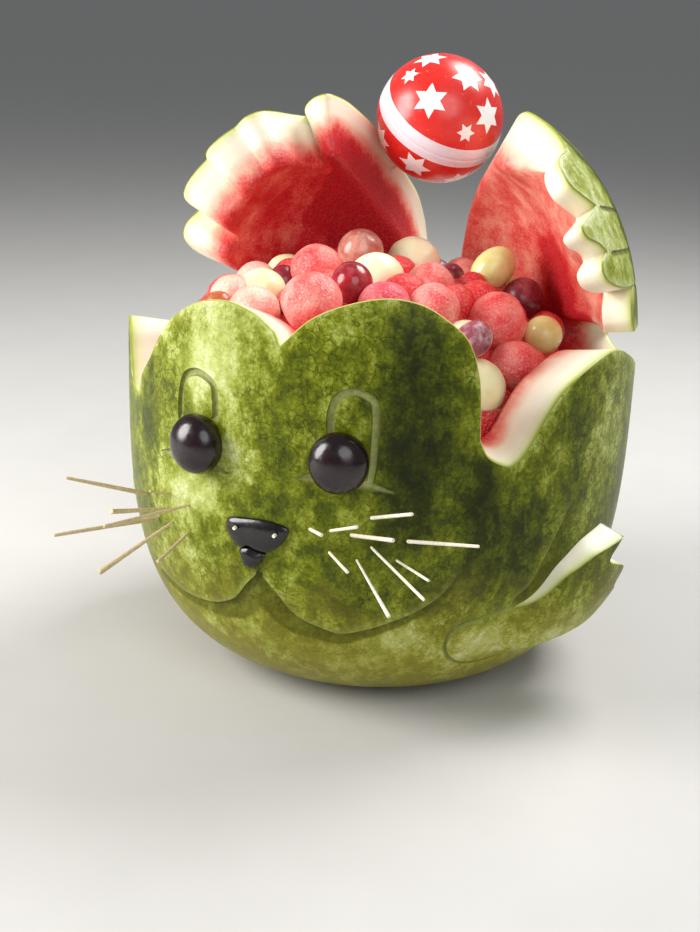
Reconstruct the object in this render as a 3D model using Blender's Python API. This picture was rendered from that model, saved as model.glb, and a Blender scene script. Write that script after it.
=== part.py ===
"""Watermelon fruit bowl carved as a seal, with a play ball held between its tail flukes.

One melon, cut open at the top and hollowed, is the bowl: two head lobes over the face in front,
a valley and a shoulder at each side, two scalloped tail flukes rising behind, and a fin flared
out of each flank.  Melon balls and grapes fill it.  Eyes, nose, whiskers and ball are set on it.

Metres, +Z up, origin at the middle of the small flat cut that the melon stands on.  The face
looks along -Y.  A place on the melon is given by its turn (degrees round the melon, 0 at the
middle of the face, positive towards the seal's left, +X) and its height above the floor.
"""

import math
import random

import bmesh
import bpy
from mathutils import Vector
from mathutils.geometry import delaunay_2d_cdt

MM = 0.001

# ---- driving dimensions ----------------------------------------------------------------------
GIRTH_RADIUS = 116.0 * MM        # melon's radius at its widest level
WIDEST = 145.6 * MM              # height of the widest level above the floor
BELOW = 148.5 * MM               # from the widest level down to the blossom end, before the flat cut
ABOVE = 120.3 * MM               # from the widest level up to the stem end
BLUNT_BELOW = 3.5                # superellipse powers: the lower half is the blunter one
BLUNT_ABOVE = 2.3
WALL = 27.0 * MM                 # rind and flesh left by the scoop
GAP = 0.3 * MM                   # between pieces that touch

SHELL_STEP = 11.0 * MM           # spacing of the skin's points
CAVITY_STEP = 13.0 * MM          # and of the cavity's
RUN_STEPS = 2                    # points added between two given points of a smooth cut

# ---- the cut rim: (turn, height in mm) -------------------------------------------------------
HEAD_NOTCH = (3, 169)
LEFT_LOBE = [HEAD_NOTCH, (9, 180.5), (16, 187), (24, 190.3), (31, 188.5), (36.5, 182.5), (41, 174),
             (43.3, 160.5), (44, 147), (44.3, 134)]
LEFT_VALLEY = [(44.3, 134), (46.2, 127), (50, 123), (53, 124), (56, 131)]
LEFT_SHOULDER = [(56, 131), (58.5, 139), (63, 150), (70, 157.5), (78, 162), (85, 161), (92, 156),
                 (102, 148), (114, 143), (126, 142)]
LEFT_SLIT = [(126, 142), (132, 146), (131, 152), (122, 157), (110, 162), (96, 164)]
LEFT_FLUKE_LOBES = [
    [(96, 164), (93.6, 170), (94.2, 178), (98, 183.5)],
    [(98, 183.5), (88.6, 185.5), (81.6, 189.5), (79.2, 194), (79.6, 198.3), (83, 202)],
    [(83, 202), (80.4, 205.5), (76.4, 208.5), (75.1, 212.4), (77.4, 215.2), (86.5, 219.5)],
    [(86.5, 219.5), (81.5, 224.5), (78.6, 229), (79.6, 235), (84.4, 239), (92, 240)]]
LEFT_FLUKE_TOP = [(92, 240), (104, 246), (118, 251.5), (131, 252), (145, 248.5), (157, 241),
                  (166.5, 230), (173.5, 213), (177.5, 190), (179, 170), (180.5, 154)]
TAIL_GAP = [(180.5, 154), (186, 148), (191, 154)]
RIGHT_FLUKE_TOP = [(191, 154), (192.4, 178), (193.2, 189), (195.2, 202), (199.5, 215), (204.5, 228),
                   (211, 239.5), (220, 248.3), (228, 252.3), (235, 253.8), (239.6, 251.6),
                   (239.4, 246.5), (235.6, 241.8)]
RIGHT_FLUKE_LOBES = [
    [(235.6, 241.8), (243, 243.2), (252, 245), (260.5, 245.6), (266.3, 243.2), (266.2, 237.8)],
    [(266.2, 237.8), (269.8, 233.6), (271.8, 228.4), (271.2, 224.8), (268.4, 222)],
    [(268.4, 222), (271, 216), (272.4, 210), (271.6, 204.6), (268, 200.4), (261.6, 195.4)],
    [(261.6, 195.4), (265.4, 190.4), (266.2, 184.4), (264, 179), (258, 172), (249.5, 165.8)]]
RIGHT_SLIT = [(249.5, 165.8), (240, 160), (230, 154), (226.5, 147.5), (230, 143.5), (238, 141.5)]
RIGHT_SHOULDER = [(238, 141.5), (252, 140.6), (266, 141), (280, 144.5), (292, 150.8), (300, 157),
                  (306, 159.2), (309.5, 155), (311, 147), (313, 138)]
RIGHT_VALLEY = [(313, 138), (315, 132), (317.5, 131), (319.5, 135)]
RIGHT_LOBE = [(319.5, 135), (321, 141.5), (325.3, 150), (329.3, 160.7), (333.2, 169.8), (337, 175.4),
              (340.6, 179.5), (345, 182.1), (349.4, 183.1), (353.1, 182.2), (357.6, 179.5),
              (361.3, 175), (363, 169)]

BEVEL_PLAIN = 0.5                # how far the cut leans back across the wall, in mm
BEVEL_TAIL = [0.5, 4, 8, 11, 12, 12, 11, 9, 7, 5, 3, 1.5]
LOBE_WALLS = [13.5 * MM, 13 * MM, 11 * MM, 10.5 * MM]   # the left fluke is scooped thin there
THIN_REACH = 30.0 * MM           # the wall is back to its full thickness this far in

# ---- carved lines: width, depth, then (turn, height) -----------------------------------------
BROW_WIDTH = 3.0 * MM
CHEEK_WIDTH = 3.4 * MM
LINE_DEPTH = 1.8 * MM
BROWS = [
    [(14.2, 136), (14.3, 145), (15.6, 151), (18.6, 153.5), (21.8, 151), (22.9, 146), (22.9, 126),
     (22.4, 119)],
    [(338.4, 131), (338.6, 141), (340, 148.8), (343.4, 151.8), (347, 149.8), (348.3, 146),
     (348.7, 137)]]
CHEEKS = [
    [(359.8, 69), (3.2, 61.4), (5.6, 55.6), (8.7, 51.1), (13.9, 47.4), (17.5, 46.2), (23, 49.3),
     (28.4, 53.8), (34.2, 59.7), (39, 67.5), (42, 77)],
    [(323.4, 50), (330.2, 47.4), (337, 46.5), (345.5, 48.7), (351.3, 53.7), (353.6, 58),
     (356, 64)]]

# ---- the fin on the seal's left: its outline, and how it flares ------------------------------
FIN_TOP = [(43.5, 49.5), (50, 53.5), (58.5, 57), (63, 61.8), (67, 70.5), (70, 74.5), (74, 79),
           (78, 81.2), (84.3, 82.7)]
FIN_TIPS = [(82, 78.3), (80, 73.5), (84.5, 69), (90, 64.5), (90.6, 61), (87.5, 56), (90.8, 52.5),
            (91.2, 48)]
FIN_BELLY = [(89, 43.5), (84.5, 39), (77.6, 36.5), (70, 34), (62, 30.8), (54, 27.8), (47.5, 28.5),
             (43, 34), (41.5, 42)]
FIN_RIGHT_SHIFT = 6              # the hidden fin lies this much further back
FIN_FLARE = 11.5 * MM
FIN_DROP = 0.3                   # it sinks this much of the way that it stands out
FIN_ROOT_TURN = 57.0
FIN_TIP_TURN = 84.5
FIN_LOW = 26.0 * MM              # below FIN_FULL it stands out less
FIN_FULL = 56.0 * MM
FIN_LOW_SHARE = 0.6
FIN_WALL = 0.6 * MM              # the fin's cut edge is this much out of upright

# ---- garnish ---------------------------------------------------------------------------------
EYE_PLACES = {"eye_left": (16.4, 125.6), "eye_right": (345.6, 123.3)}
EYE_RADII = (11.5 * MM, 11.9 * MM, 8.8 * MM)     # across, up, out
EYE_STANDOFF = 4.5 * MM
NOSE_PLACE = (358.0, 82.5)
NOSE_BRIDGE = [(-12.4, 6), (-11.4, 9.9), (-8.6, 12.2), (-3.2, 13.9), (2.6, 14.8), (8.4, 14.6),
               (13.4, 13.4), (16.5, 11.4), (15.6, 7.2), (13.1, 3.4), (9.8, 0.2), (7, -1.5),
               (2.2, -1.2), (-2, 0.1), (-5.8, -1.5), (-9, 0.8), (-11.5, 3.6)]
NOSE_TIP = [(-5.9, -2.4), (-2, -0.9), (2.2, -2.2), (6.2, -2.7), (4.9, -5.2), (3.2, -7.4),
            (0.5, -9.2), (-1.6, -9.7), (-3.5, -9.3), (-4.9, -7.8), (-5.5, -5)]
NOSE_THICK = 4.2 * MM
NOSE_LIFT = 0.4 * MM             # the slices' undersides are flat between their points
NOSE_PINS = {"nose_pin_right": (-6.3, 10.6), "nose_pin_left": (11.8, 11.4)}
PIN_RADIUS = 1.1 * MM
PIN_LENGTH = 2.4 * MM
BALL_RADIUS = 31.1 * MM
BALL_PLACE = (186.4, 80.3 * MM, 241.8 * MM)      # turn, distance from the axis, height
BALL_PICK_TURN = 265.0           # the pick slants down from the ball into the right fluke
BALL_PICK_DIP = 47.0
BALL_PICK_REACH = 38.0 * MM      # from the middle of the ball
BALL_PICK_RADIUS = 1.0 * MM
# root (turn, height), heading up from level, lean out of the skin, length, widths at root and tip
WHISKERS = {
    "left": [
        (10.6, 94.9, 39, 59, 30, 1.7, 1.7), (14.7, 95.0, 43, 51, 34, 1.5, 1.6),
        (22.7, 101.9, 41, 53, 36, 1.8, 1.6), (18.8, 94.0, 31, 51, 36, 1.8, 2.0),
        (29.7, 92.3, 18, 40, 36, 1.9, 1.5), (14.6, 85.7, 26, 63, 32, 1.3, 1.5),
        (20.2, 83.6, -23, 63, 38, 1.0, 1.9), (22.9, 89.7, -16, 55, 40, 1.3, 1.5),
        (28.3, 83.8, 38, 69, 34, 1.2, 1.3)],
    "right": [
        (322.7, 86.6, 81, 66, 40, 2.0, 1.3), (333.5, 93.5, 34, 44, 26, 1.0, 1.0),
        (332.2, 85.8, 48, 66, 34, 1.2, 2.1), (340.7, 92.7, 148, 85, 42, 1.2, 1.6),
        (327.9, 78.7, 67, 81, 50, 1.9, 1.4), (334.3, 81.0, -54, 76, 42, 1.1, 2.2),
        (339.7, 79.2, 3, 63, 30, 1.2, 1.5)]}

# ---- fruit heap: kind, x, y, z and radius in mm ----------------------------------------------
FRUIT = [
    ("ball", -6.9, -60.5, 176.0, 13.2), ("ball", -33.1, -60.9, 172.8, 12.2),
    ("ball", -43.5, -32.0, 171.4, 11.8), ("ball", -58.6, -43.5, 170.5, 10.4),
    ("grape", -55.2, -56.4, 169.6, 7.1), ("ball", -65.1, -2.0, 171.6, 10.5),
    ("ball", -60.5, 19.9, 171.1, 10.3), ("grape", -48.5, -9.0, 174.0, 7.5),
    ("ball", -31.5, -1.3, 178.9, 12.7), ("grape", -0.8, -32.6, 180.2, 8.8),
    ("grape", -26.6, 31.0, 183.9, 11.2), ("ball", -3.6, 0.3, 179.2, 12.5),
    ("ball", -8.3, 53.7, 180.2, 13.4), ("ball", 16.9, -38.0, 175.2, 11.7),
    ("ball", 16.7, 16.6, 174.3, 11.7), ("ball", 36.2, -25.3, 173.4, 11.8),
    ("ball", 12.9, 66.7, 170.7, 10.0), ("grape", 19.6, 41.3, 172.5, 7.2),
    ("grape", 36.3, 48.4, 177.7, 10.1), ("ball", 40.0, 15.7, 169.8, 11.1),
    ("grape", 50.5, 50.6, 165.0, 9.1), ("ball", 55.6, -4.6, 166.0, 13.4),
    ("grape", 68.5, 24.4, 154.5, 9.0), ("ball", 61.0, 50.0, 151.0, 9.7),
    ("grape", 62.0, -43.0, 164.0, 8.0), ("ball", 66.0, -15.6, 148.6, 11.9),
    ("ball", 59.0, -44.0, 145.0, 13.0), ("ball", 51.5, -27.5, 164.5, 8.7)]
MORE_FRUIT = 40                  # pieces that the front ones hide, and small gaps' fillers
FRUIT_SEED = 11
MOUND_TOP = 182.0                # height of the pieces' middles, in mm, at the heap's highest
MOUND_FALL = 7.0                 # lower by this at MOUND_REACH from the highest place
MOUND_REACH = 65.0
SLOPE_FROM = 38.0                # past this much to the seal's left the heap slopes down
SLOPE = 0.7
DIP_MIDDLE = (70.0, -55.0)       # and it dips once more into the mouth of the left valley
DIP_DEPTH = 12.0
DIP_WIDTH = 22.0
CORE_SUNK = 7.0                  # the core's top lies this much under the pieces' middles
CORE_SIDE = 134.0 * MM
CORE_EDGE = 86.0 * MM
CORE_MARGIN = 1.8 * MM


# ---- the melon's surface ---------------------------------------------------------------------
def half(tilt):
    """Height and bluntness of the half that a direction tilted up by tilt points into."""
    if tilt < 0:
        return BELOW, BLUNT_BELOW
    return ABOVE, BLUNT_ABOVE


def on_melon(turn, tilt, depth=0.0):
    """Point in the direction turn, tilt (radians) from the melon's heart, depth under the skin."""
    tall, power = half(tilt)
    across = abs(math.cos(tilt)) / (GIRTH_RADIUS - depth)
    along = abs(math.sin(tilt)) / (tall - depth)
    reach = (across ** power + along ** power) ** (-1 / power)
    radius = reach * math.cos(tilt)
    return Vector((radius * math.sin(turn), -radius * math.cos(turn),
                   WIDEST + reach * math.sin(tilt)))


def direction(place):
    """Turn and tilt in radians of a place given as turn in degrees and height in mm."""
    rise = place[1] * MM - WIDEST
    tall, power = half(rise)
    radius = GIRTH_RADIUS * (1 - (abs(rise) / tall) ** power) ** (1 / power)
    return math.radians(place[0]), math.atan2(rise, radius)


def direction_of(point):
    """Turn and tilt of a point in space, seen from the melon's heart."""
    radius = math.hypot(point.x, point.y)
    return math.atan2(point.x, -point.y), math.atan2(point.z - WIDEST, radius)


def flat_map(turn, tilt):
    """Chart of the melon on a plane: the blossom end in the middle, the stem end far out."""
    spread = math.tan((tilt + math.pi / 2) / 2)
    return Vector((spread * math.sin(turn), -spread * math.cos(turn)))


def from_chart(spot):
    """Turn and tilt of a spot on the chart."""
    return math.atan2(spot[0], -spot[1]), 2 * math.atan(math.hypot(*spot)) - math.pi / 2


def aside(path, distance, closed=False):
    """Path of (turn, tilt) moved sideways over the melon, to the left of its run if positive."""
    points = [on_melon(*step) for step in path]
    count = len(points)
    moved = []
    for index, point in enumerate(points):
        before = points[index - 1] if closed or index else point
        after = points[(index + 1) % count] if closed or index < count - 1 else point
        out = (point - Vector((0, 0, WIDEST))).normalized()
        side = out.cross(after - before).normalized()
        shift = distance[index] if isinstance(distance, list) else distance
        moved.append(direction_of(point + side * shift))
    return moved


# ---- curves ----------------------------------------------------------------------------------
def smooth(points, steps):
    """Catmull-Rom curve through the points, without its last one."""
    curve = []
    last = len(points) - 1
    for index in range(last):
        a = Vector(points[max(index - 1, 0)])
        b = Vector(points[index])
        c = Vector(points[index + 1])
        d = Vector(points[min(index + 2, last)])
        for step in range(steps):
            t = step / steps
            curve.append(tuple(0.5 * (2 * b + (c - a) * t + (2 * a - 5 * b + 4 * c - d) * t * t
                                      + (3 * b - a - 3 * c + d) * t ** 3)))
    return curve


def rim():
    """The whole cut rim as (turn, tilt), how far its inner edge lies back, and its thickness."""
    outline = []
    bevels = []
    walls = []

    def run(points, bevel=BEVEL_PLAIN, steps=RUN_STEPS, wall=WALL):
        outline.extend(direction(place) for place in smooth(points, steps))
        given = bevel if isinstance(bevel, list) else [bevel] * (len(points) - 1)
        bevels.extend(value for value in given for _ in range(steps))
        walls.extend([wall] * (len(given) * steps))

    run(LEFT_LOBE)
    run(LEFT_VALLEY, steps=1)
    run(LEFT_SHOULDER)
    run(LEFT_SLIT)
    for lobe, wall in zip(LEFT_FLUKE_LOBES, LOBE_WALLS):
        run(lobe, wall=wall)
    run(LEFT_FLUKE_TOP)
    run(TAIL_GAP)
    run(RIGHT_FLUKE_TOP, BEVEL_TAIL)
    for lobe in RIGHT_FLUKE_LOBES:
        run(lobe)
    run(RIGHT_SLIT)
    run(RIGHT_SHOULDER)
    run(RIGHT_VALLEY, steps=1)
    run(RIGHT_LOBE)
    return outline, bevels, walls


def even_out(values, passes):
    """Values of a closed run averaged with their neighbours."""
    for _ in range(passes):
        values = [(values[i - 1] + 2 * values[i] + values[(i + 1) % len(values)]) / 4
                  for i in range(len(values))]
    return values


# ---- charted sheets --------------------------------------------------------------------------
def inside(spot, loop):
    """Whether a spot of the chart lies inside a closed loop of spots."""
    found = False
    for (ax, ay), (bx, by) in zip(loop, loop[1:] + loop[:1]):
        if (ay > spot[1]) != (by > spot[1]):
            if spot[0] < (bx - ax) * (spot[1] - ay) / (by - ay) + ax:
                found = not found
    return found


def spread_points(step, depth):
    """Directions spread evenly over the melon, ring by ring from the blossom end."""
    radius = GIRTH_RADIUS - depth
    rings = round(math.pi * radius / step)
    spots = []
    for ring in range(1, rings):
        tilt = -math.pi / 2 + math.pi * ring / rings
        count = max(5, round(2 * math.pi * radius * math.cos(tilt) / step))
        for index in range(count):
            spots.append((2 * math.pi * (index + ring % 2 / 2) / count, tilt))
    return spots


def sheet(loop, step, depth, lines=(), place=None):
    """Triangles over the part of the melon inside the loop, as points, faces and the loop's ids.

    Each line is a run of (turn, tilt, point) whose course the triangles follow, and whether it
    closes.  place gives the point of every other direction.
    """
    place = place or (lambda turn, tilt: on_melon(turn, tilt, depth))
    fixed = [(turn, tilt, on_melon(turn, tilt, depth)) for turn, tilt in loop]
    edges = [(i, (i + 1) % len(loop)) for i in range(len(loop))]
    for line, closed in lines:
        start = len(fixed)
        fixed.extend(line)
        count = len(line)
        edges.extend((start + i, start + (i + 1) % count)
                     for i in range(count if closed else count - 1))
    bounds = [tuple(flat_map(*spot)) for spot in loop]
    kept = [on_melon(turn, tilt, depth) for turn, tilt, _ in fixed]
    spots = list(fixed)
    for turn, tilt in spread_points(step, depth):
        point = on_melon(turn, tilt, depth)
        if min((point - other).length_squared for other in kept) < (0.55 * step) ** 2:
            continue
        if inside(flat_map(turn, tilt), bounds):
            spots.append((turn, tilt, place(turn, tilt)))
    chart = [flat_map(turn, tilt) for turn, tilt, _ in spots]
    flat, _, faces, sources, _, _ = delaunay_2d_cdt(chart, edges, [], 0, 1e-7)
    renamed = {}
    points = []
    for index, spot in enumerate(flat):
        for source in sources[index]:
            renamed[source] = index
        points.append(spots[sources[index][0]][2] if sources[index] else place(*from_chart(spot)))
    kept_faces = [face for face in faces
                  if inside(sum((flat[i] for i in face), Vector((0, 0))) / 3, bounds)]
    return points, kept_faces, [renamed[i] for i in range(len(loop))]


# ---- the shell -------------------------------------------------------------------------------
def fin_outline(side, back):
    """The fin's outline as (turn, tilt); side is 1 on the seal's left, -1 on its right."""
    places = smooth(FIN_TOP, 1) + [FIN_TOP[-1]] + FIN_TIPS + FIN_BELLY
    return [(math.radians(side * (place[0] + back)), direction(place)[1]) for place in places]


def fin_flare(turn, height, side, back):
    """How far the fin stands out of the skin at a turn and a height."""
    along = side * math.degrees(turn) - back
    share = min(max((FIN_TIP_TURN - along) / (FIN_TIP_TURN - FIN_ROOT_TURN), 0), 1)
    lift = min(max((height - FIN_LOW) / (FIN_FULL - FIN_LOW), 0), 1)
    return FIN_FLARE * (1 - share ** 1.8) * (FIN_LOW_SHARE + (1 - FIN_LOW_SHARE) * lift)


def flared(turn, tilt, side, back):
    """The fin's skin: the melon's skin moved level outwards and a little down."""
    point = on_melon(turn, tilt)
    out = fin_flare(turn, point.z, side, back)
    return point + Vector((math.sin(turn), -math.cos(turn), -FIN_DROP)) * out


def groove(places, width):
    """A carved line's two edges and its bottom, as runs that the shell's triangles follow."""
    path = [direction(place) for place in places]
    path = [(math.remainder(turn, 2 * math.pi), tilt) for turn, tilt in path]
    left = aside(path, width / 2)
    right = aside(path, -width / 2)
    edge = [(turn, tilt, on_melon(turn, tilt)) for turn, tilt in left + right[::-1]]
    bottom = [(turn, tilt, on_melon(turn, tilt, LINE_DEPTH)) for turn, tilt in path[1:-1]]
    return [(edge, True), (bottom, False)]


def foot_ring():
    """The edge of the flat cut under the melon."""
    rise = -WIDEST
    radius = GIRTH_RADIUS * (1 - (abs(rise) / BELOW) ** BLUNT_BELOW) ** (1 / BLUNT_BELOW)
    tilt = math.atan2(rise, radius)
    count = 32
    turns = [2 * math.pi * i / count for i in range(count)]
    return [(turn, tilt, on_melon(turn, tilt)) for turn in turns]


def scooped(cavity, rim_ids, walls):
    """The hollow's points, moved out to where the wall is thinner along its rim."""
    edge = [cavity[i] for i in rim_ids]
    moved = []
    for point in cavity:
        away, wall = min(((point - other).length, wall) for other, wall in zip(edge, walls))
        share = min(away / THIN_REACH, 1.0)
        thickness = wall + (WALL - wall) * share * share * (3 - 2 * share)
        moved.append(on_melon(*direction_of(point), thickness))
    return moved


def make_shell():
    outline, bevels, walls = rim()
    sides = ((1, 0), (-1, FIN_RIGHT_SHIFT))
    lines = [(foot_ring(), True)]
    fins = []
    for side, back in sides:
        edge = fin_outline(side, back)
        top = aside(edge, -FIN_WALL * side, closed=True)
        lines.append(([(turn, tilt, on_melon(turn, tilt)) for turn, tilt in edge], True))
        lines.append(([(turn, tilt, flared(turn, tilt, side, back)) for turn, tilt in top],
                      True))
        fins.append(([tuple(flat_map(*spot)) for spot in edge], side, back))
    for places in BROWS:
        lines.extend(groove(places, BROW_WIDTH))
    for places in CHEEKS:
        lines.extend(groove(places, CHEEK_WIDTH))

    def place(turn, tilt):
        spot = flat_map(turn, tilt)
        for bounds, side, back in fins:
            if inside(spot, bounds):
                return flared(math.remainder(turn, 2 * math.pi), tilt, side, back)
        return on_melon(turn, tilt)

    skin, skin_faces, skin_rim = sheet(outline, SHELL_STEP, 0.0, lines, place)
    for point in skin:
        point.z = max(point.z, 0.0)
    inner = aside(outline, [-bevel * MM for bevel in even_out(bevels, 3)], closed=True)
    cavity, cavity_faces, cavity_rim = sheet(inner, CAVITY_STEP, WALL)
    cavity = scooped(cavity, cavity_rim, even_out(walls, 4))
    points = skin + cavity
    shift = len(skin)
    faces = [tuple(face) for face in skin_faces]
    faces += [tuple(shift + i for i in reversed(face)) for face in cavity_faces]
    count = len(outline)
    for i in range(count):
        j = (i + 1) % count
        faces.append((skin_rim[j], skin_rim[i], shift + cavity_rim[i], shift + cavity_rim[j]))
    return solid("melon_shell", points, faces, RIND)


# ---- objects and materials -------------------------------------------------------------------
def material(name, colour, roughness):
    made = bpy.data.materials.new(name)
    made.use_nodes = True
    shader = made.node_tree.nodes["Principled BSDF"]
    shader.inputs["Base Color"].default_value = (*colour, 1)
    shader.inputs["Roughness"].default_value = roughness
    shader.inputs["Metallic"].default_value = 0.0
    return made


def solid(name, points, faces, finish):
    """A closed mesh object, its faces pointing out."""
    mesh = bpy.data.meshes.new(name)
    mesh.from_pydata([tuple(point) for point in points], [], faces)
    work = bmesh.new()
    work.from_mesh(mesh)
    loose = [vertex for vertex in work.verts if not vertex.link_faces]
    bmesh.ops.delete(work, geom=loose, context="VERTS")
    bmesh.ops.triangulate(work, faces=work.faces)
    bmesh.ops.recalc_face_normals(work, faces=work.faces)
    work.to_mesh(mesh)
    work.free()
    mesh.materials.append(finish)
    mesh.shade_smooth()
    mesh.set_sharp_from_angle(angle=math.radians(35))
    thing = bpy.data.objects.new(name, mesh)
    bpy.context.scene.collection.objects.link(thing)
    return thing


def local_axes(place):
    """The skin's point, the way across it (towards the seal's left), up it and out of it."""
    turn, tilt = direction(place)
    step = 0.01
    point = on_melon(turn, tilt)
    across = (on_melon(turn + step, tilt) - on_melon(turn - step, tilt)).normalized()
    up = (on_melon(turn, tilt + step) - on_melon(turn, tilt - step)).normalized()
    return point, across, up, across.cross(up)


def make_eye(name, place):
    """A grape cut flat behind and set on the skin."""
    point, across, up, out = local_axes(place)
    work = bmesh.new()
    bmesh.ops.create_uvsphere(work, u_segments=20, v_segments=12, radius=1.0)
    wide, tall, deep = EYE_RADII
    back = (GAP - EYE_STANDOFF) / deep
    cut = bmesh.ops.bisect_plane(work, geom=work.verts[:] + work.edges[:] + work.faces[:],
                                 plane_co=(0, 0, back), plane_no=(0, 0, -1), clear_outer=True)
    edge = [item for item in cut["geom_cut"] if isinstance(item, bmesh.types.BMEdge)]
    bmesh.ops.contextual_create(work, geom=edge)
    for vertex in work.verts:
        x, y, z = vertex.co
        vertex.co = point + across * x * wide + up * y * tall + out * (z * deep + EYE_STANDOFF)
    mesh = bpy.data.meshes.new(name)
    work.to_mesh(mesh)
    work.free()
    points = [vertex.co.copy() for vertex in mesh.vertices]
    faces = [tuple(face.vertices) for face in mesh.polygons]
    bpy.data.meshes.remove(mesh)
    return solid(name, points, faces, GRAPE_BLACK)


def make_nose_piece(name, outline):
    """A domed slice that follows the skin under it."""
    point, across, up, out = local_axes(NOSE_PLACE)
    rings = ((1.0, 0.35), (0.93, 0.7), (0.75, 0.9), (0.45, 1.0))
    middle = Vector((sum(x for x, _ in outline), sum(y for _, y in outline))) / len(outline)

    def place(spot, height):
        flat = point + across * spot.x * MM + up * spot.y * MM
        turn, tilt = direction_of(flat)
        return on_melon(turn, tilt, -height)

    points = []
    for share, _ in rings[::-1]:
        points += [place(middle.lerp(Vector(spot), share), NOSE_LIFT) for spot in outline]
    for share, lift in rings:
        points += [place(middle.lerp(Vector(spot), share), lift * NOSE_THICK) for spot in outline]
    bottom = len(points)
    points += [place(middle, NOSE_LIFT), place(middle, NOSE_THICK * 1.04)]
    count = len(outline)
    rows = 2 * len(rings)
    faces = []
    for row in range(rows - 1):
        for i in range(count):
            j = (i + 1) % count
            faces.append((row * count + i, row * count + j, (row + 1) * count + j,
                          (row + 1) * count + i))
    top = (rows - 1) * count
    for i in range(count):
        j = (i + 1) % count
        faces.append((bottom, j, i))
        faces.append((bottom + 1, top + i, top + j))
    return solid(name, points, faces, GRAPE_BLACK)


def make_stick(name, start, end, widths, finish, sides=8):
    """A round stick between two points, its width given at both ends."""
    axis = (end - start).normalized()
    across = axis.orthogonal().normalized()
    along = axis.cross(across)
    points = []
    for middle, width in zip((start, end), widths):
        for i in range(sides):
            angle = 2 * math.pi * i / sides
            points.append(middle + (across * math.cos(angle) + along * math.sin(angle)) * width / 2)
    faces = [tuple(range(sides))[::-1], tuple(range(sides, 2 * sides))]
    for i in range(sides):
        j = (i + 1) % sides
        faces.append((i, j, sides + j, sides + i))
    return solid(name, points, faces, finish)


def make_pins():
    point, across, up, out = local_axes(NOSE_PLACE)
    for name, (x, y) in NOSE_PINS.items():
        turn, tilt = direction_of(point + across * x * MM + up * y * MM)
        start = on_melon(turn, tilt, -(NOSE_THICK + GAP))
        make_stick(name, start, start + out * PIN_LENGTH, (2 * PIN_RADIUS, 2 * PIN_RADIUS),
                   PICK_WOOD)


def make_whiskers():
    for label, rows in WHISKERS.items():
        for number, row in enumerate(rows, 1):
            turn, height, heading, lean, length, thick_root, thick_tip = row
            point, across, up, out = local_axes((turn, height))
            heading = math.radians(heading)
            lean = math.radians(lean)
            along = across * math.cos(heading) + up * math.sin(heading)
            axis = along * math.cos(lean) + out * math.sin(lean)
            clear = (GAP + thick_root * MM / 2 * math.cos(lean)) / math.sin(lean)
            make_stick(f"whisker_{label}_{number}", point + axis * clear,
                       point + axis * length * MM, (thick_root * MM, thick_tip * MM), PICK_WOOD)


def make_ball():
    turn, radius, height = BALL_PLACE
    middle = Vector((radius * math.sin(math.radians(turn)),
                     -radius * math.cos(math.radians(turn)), height))
    work = bmesh.new()
    bmesh.ops.create_uvsphere(work, u_segments=28, v_segments=16, radius=BALL_RADIUS)
    mesh = bpy.data.meshes.new("ball_sphere")
    work.to_mesh(mesh)
    work.free()
    points = [vertex.co + middle for vertex in mesh.vertices]
    faces = [tuple(face.vertices) for face in mesh.polygons]
    bpy.data.meshes.remove(mesh)
    solid("ball", points, faces, BALL_RED)
    turn = math.radians(BALL_PICK_TURN)
    dip = math.radians(BALL_PICK_DIP)
    axis = Vector((math.sin(turn) * math.cos(dip), -math.cos(turn) * math.cos(dip),
                   -math.sin(dip)))
    make_stick("ball_pick", middle + axis * (BALL_RADIUS + 2 * GAP),
               middle + axis * BALL_PICK_REACH, (2 * BALL_PICK_RADIUS, 2 * BALL_PICK_RADIUS),
               PICK_WOOD)


# ---- the fruit -------------------------------------------------------------------------------
def mound(x, y):
    """Height of the pieces' middles at a place on the heap, all in mm."""
    away = (x * x + (y - 12) ** 2) / MOUND_REACH ** 2
    near = math.dist((x, y), DIP_MIDDLE) / DIP_WIDTH
    dip = DIP_DEPTH * math.exp(-near * near / 2)
    return MOUND_TOP - MOUND_FALL * away - max(x - SLOPE_FROM, 0) * SLOPE - dip


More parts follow.
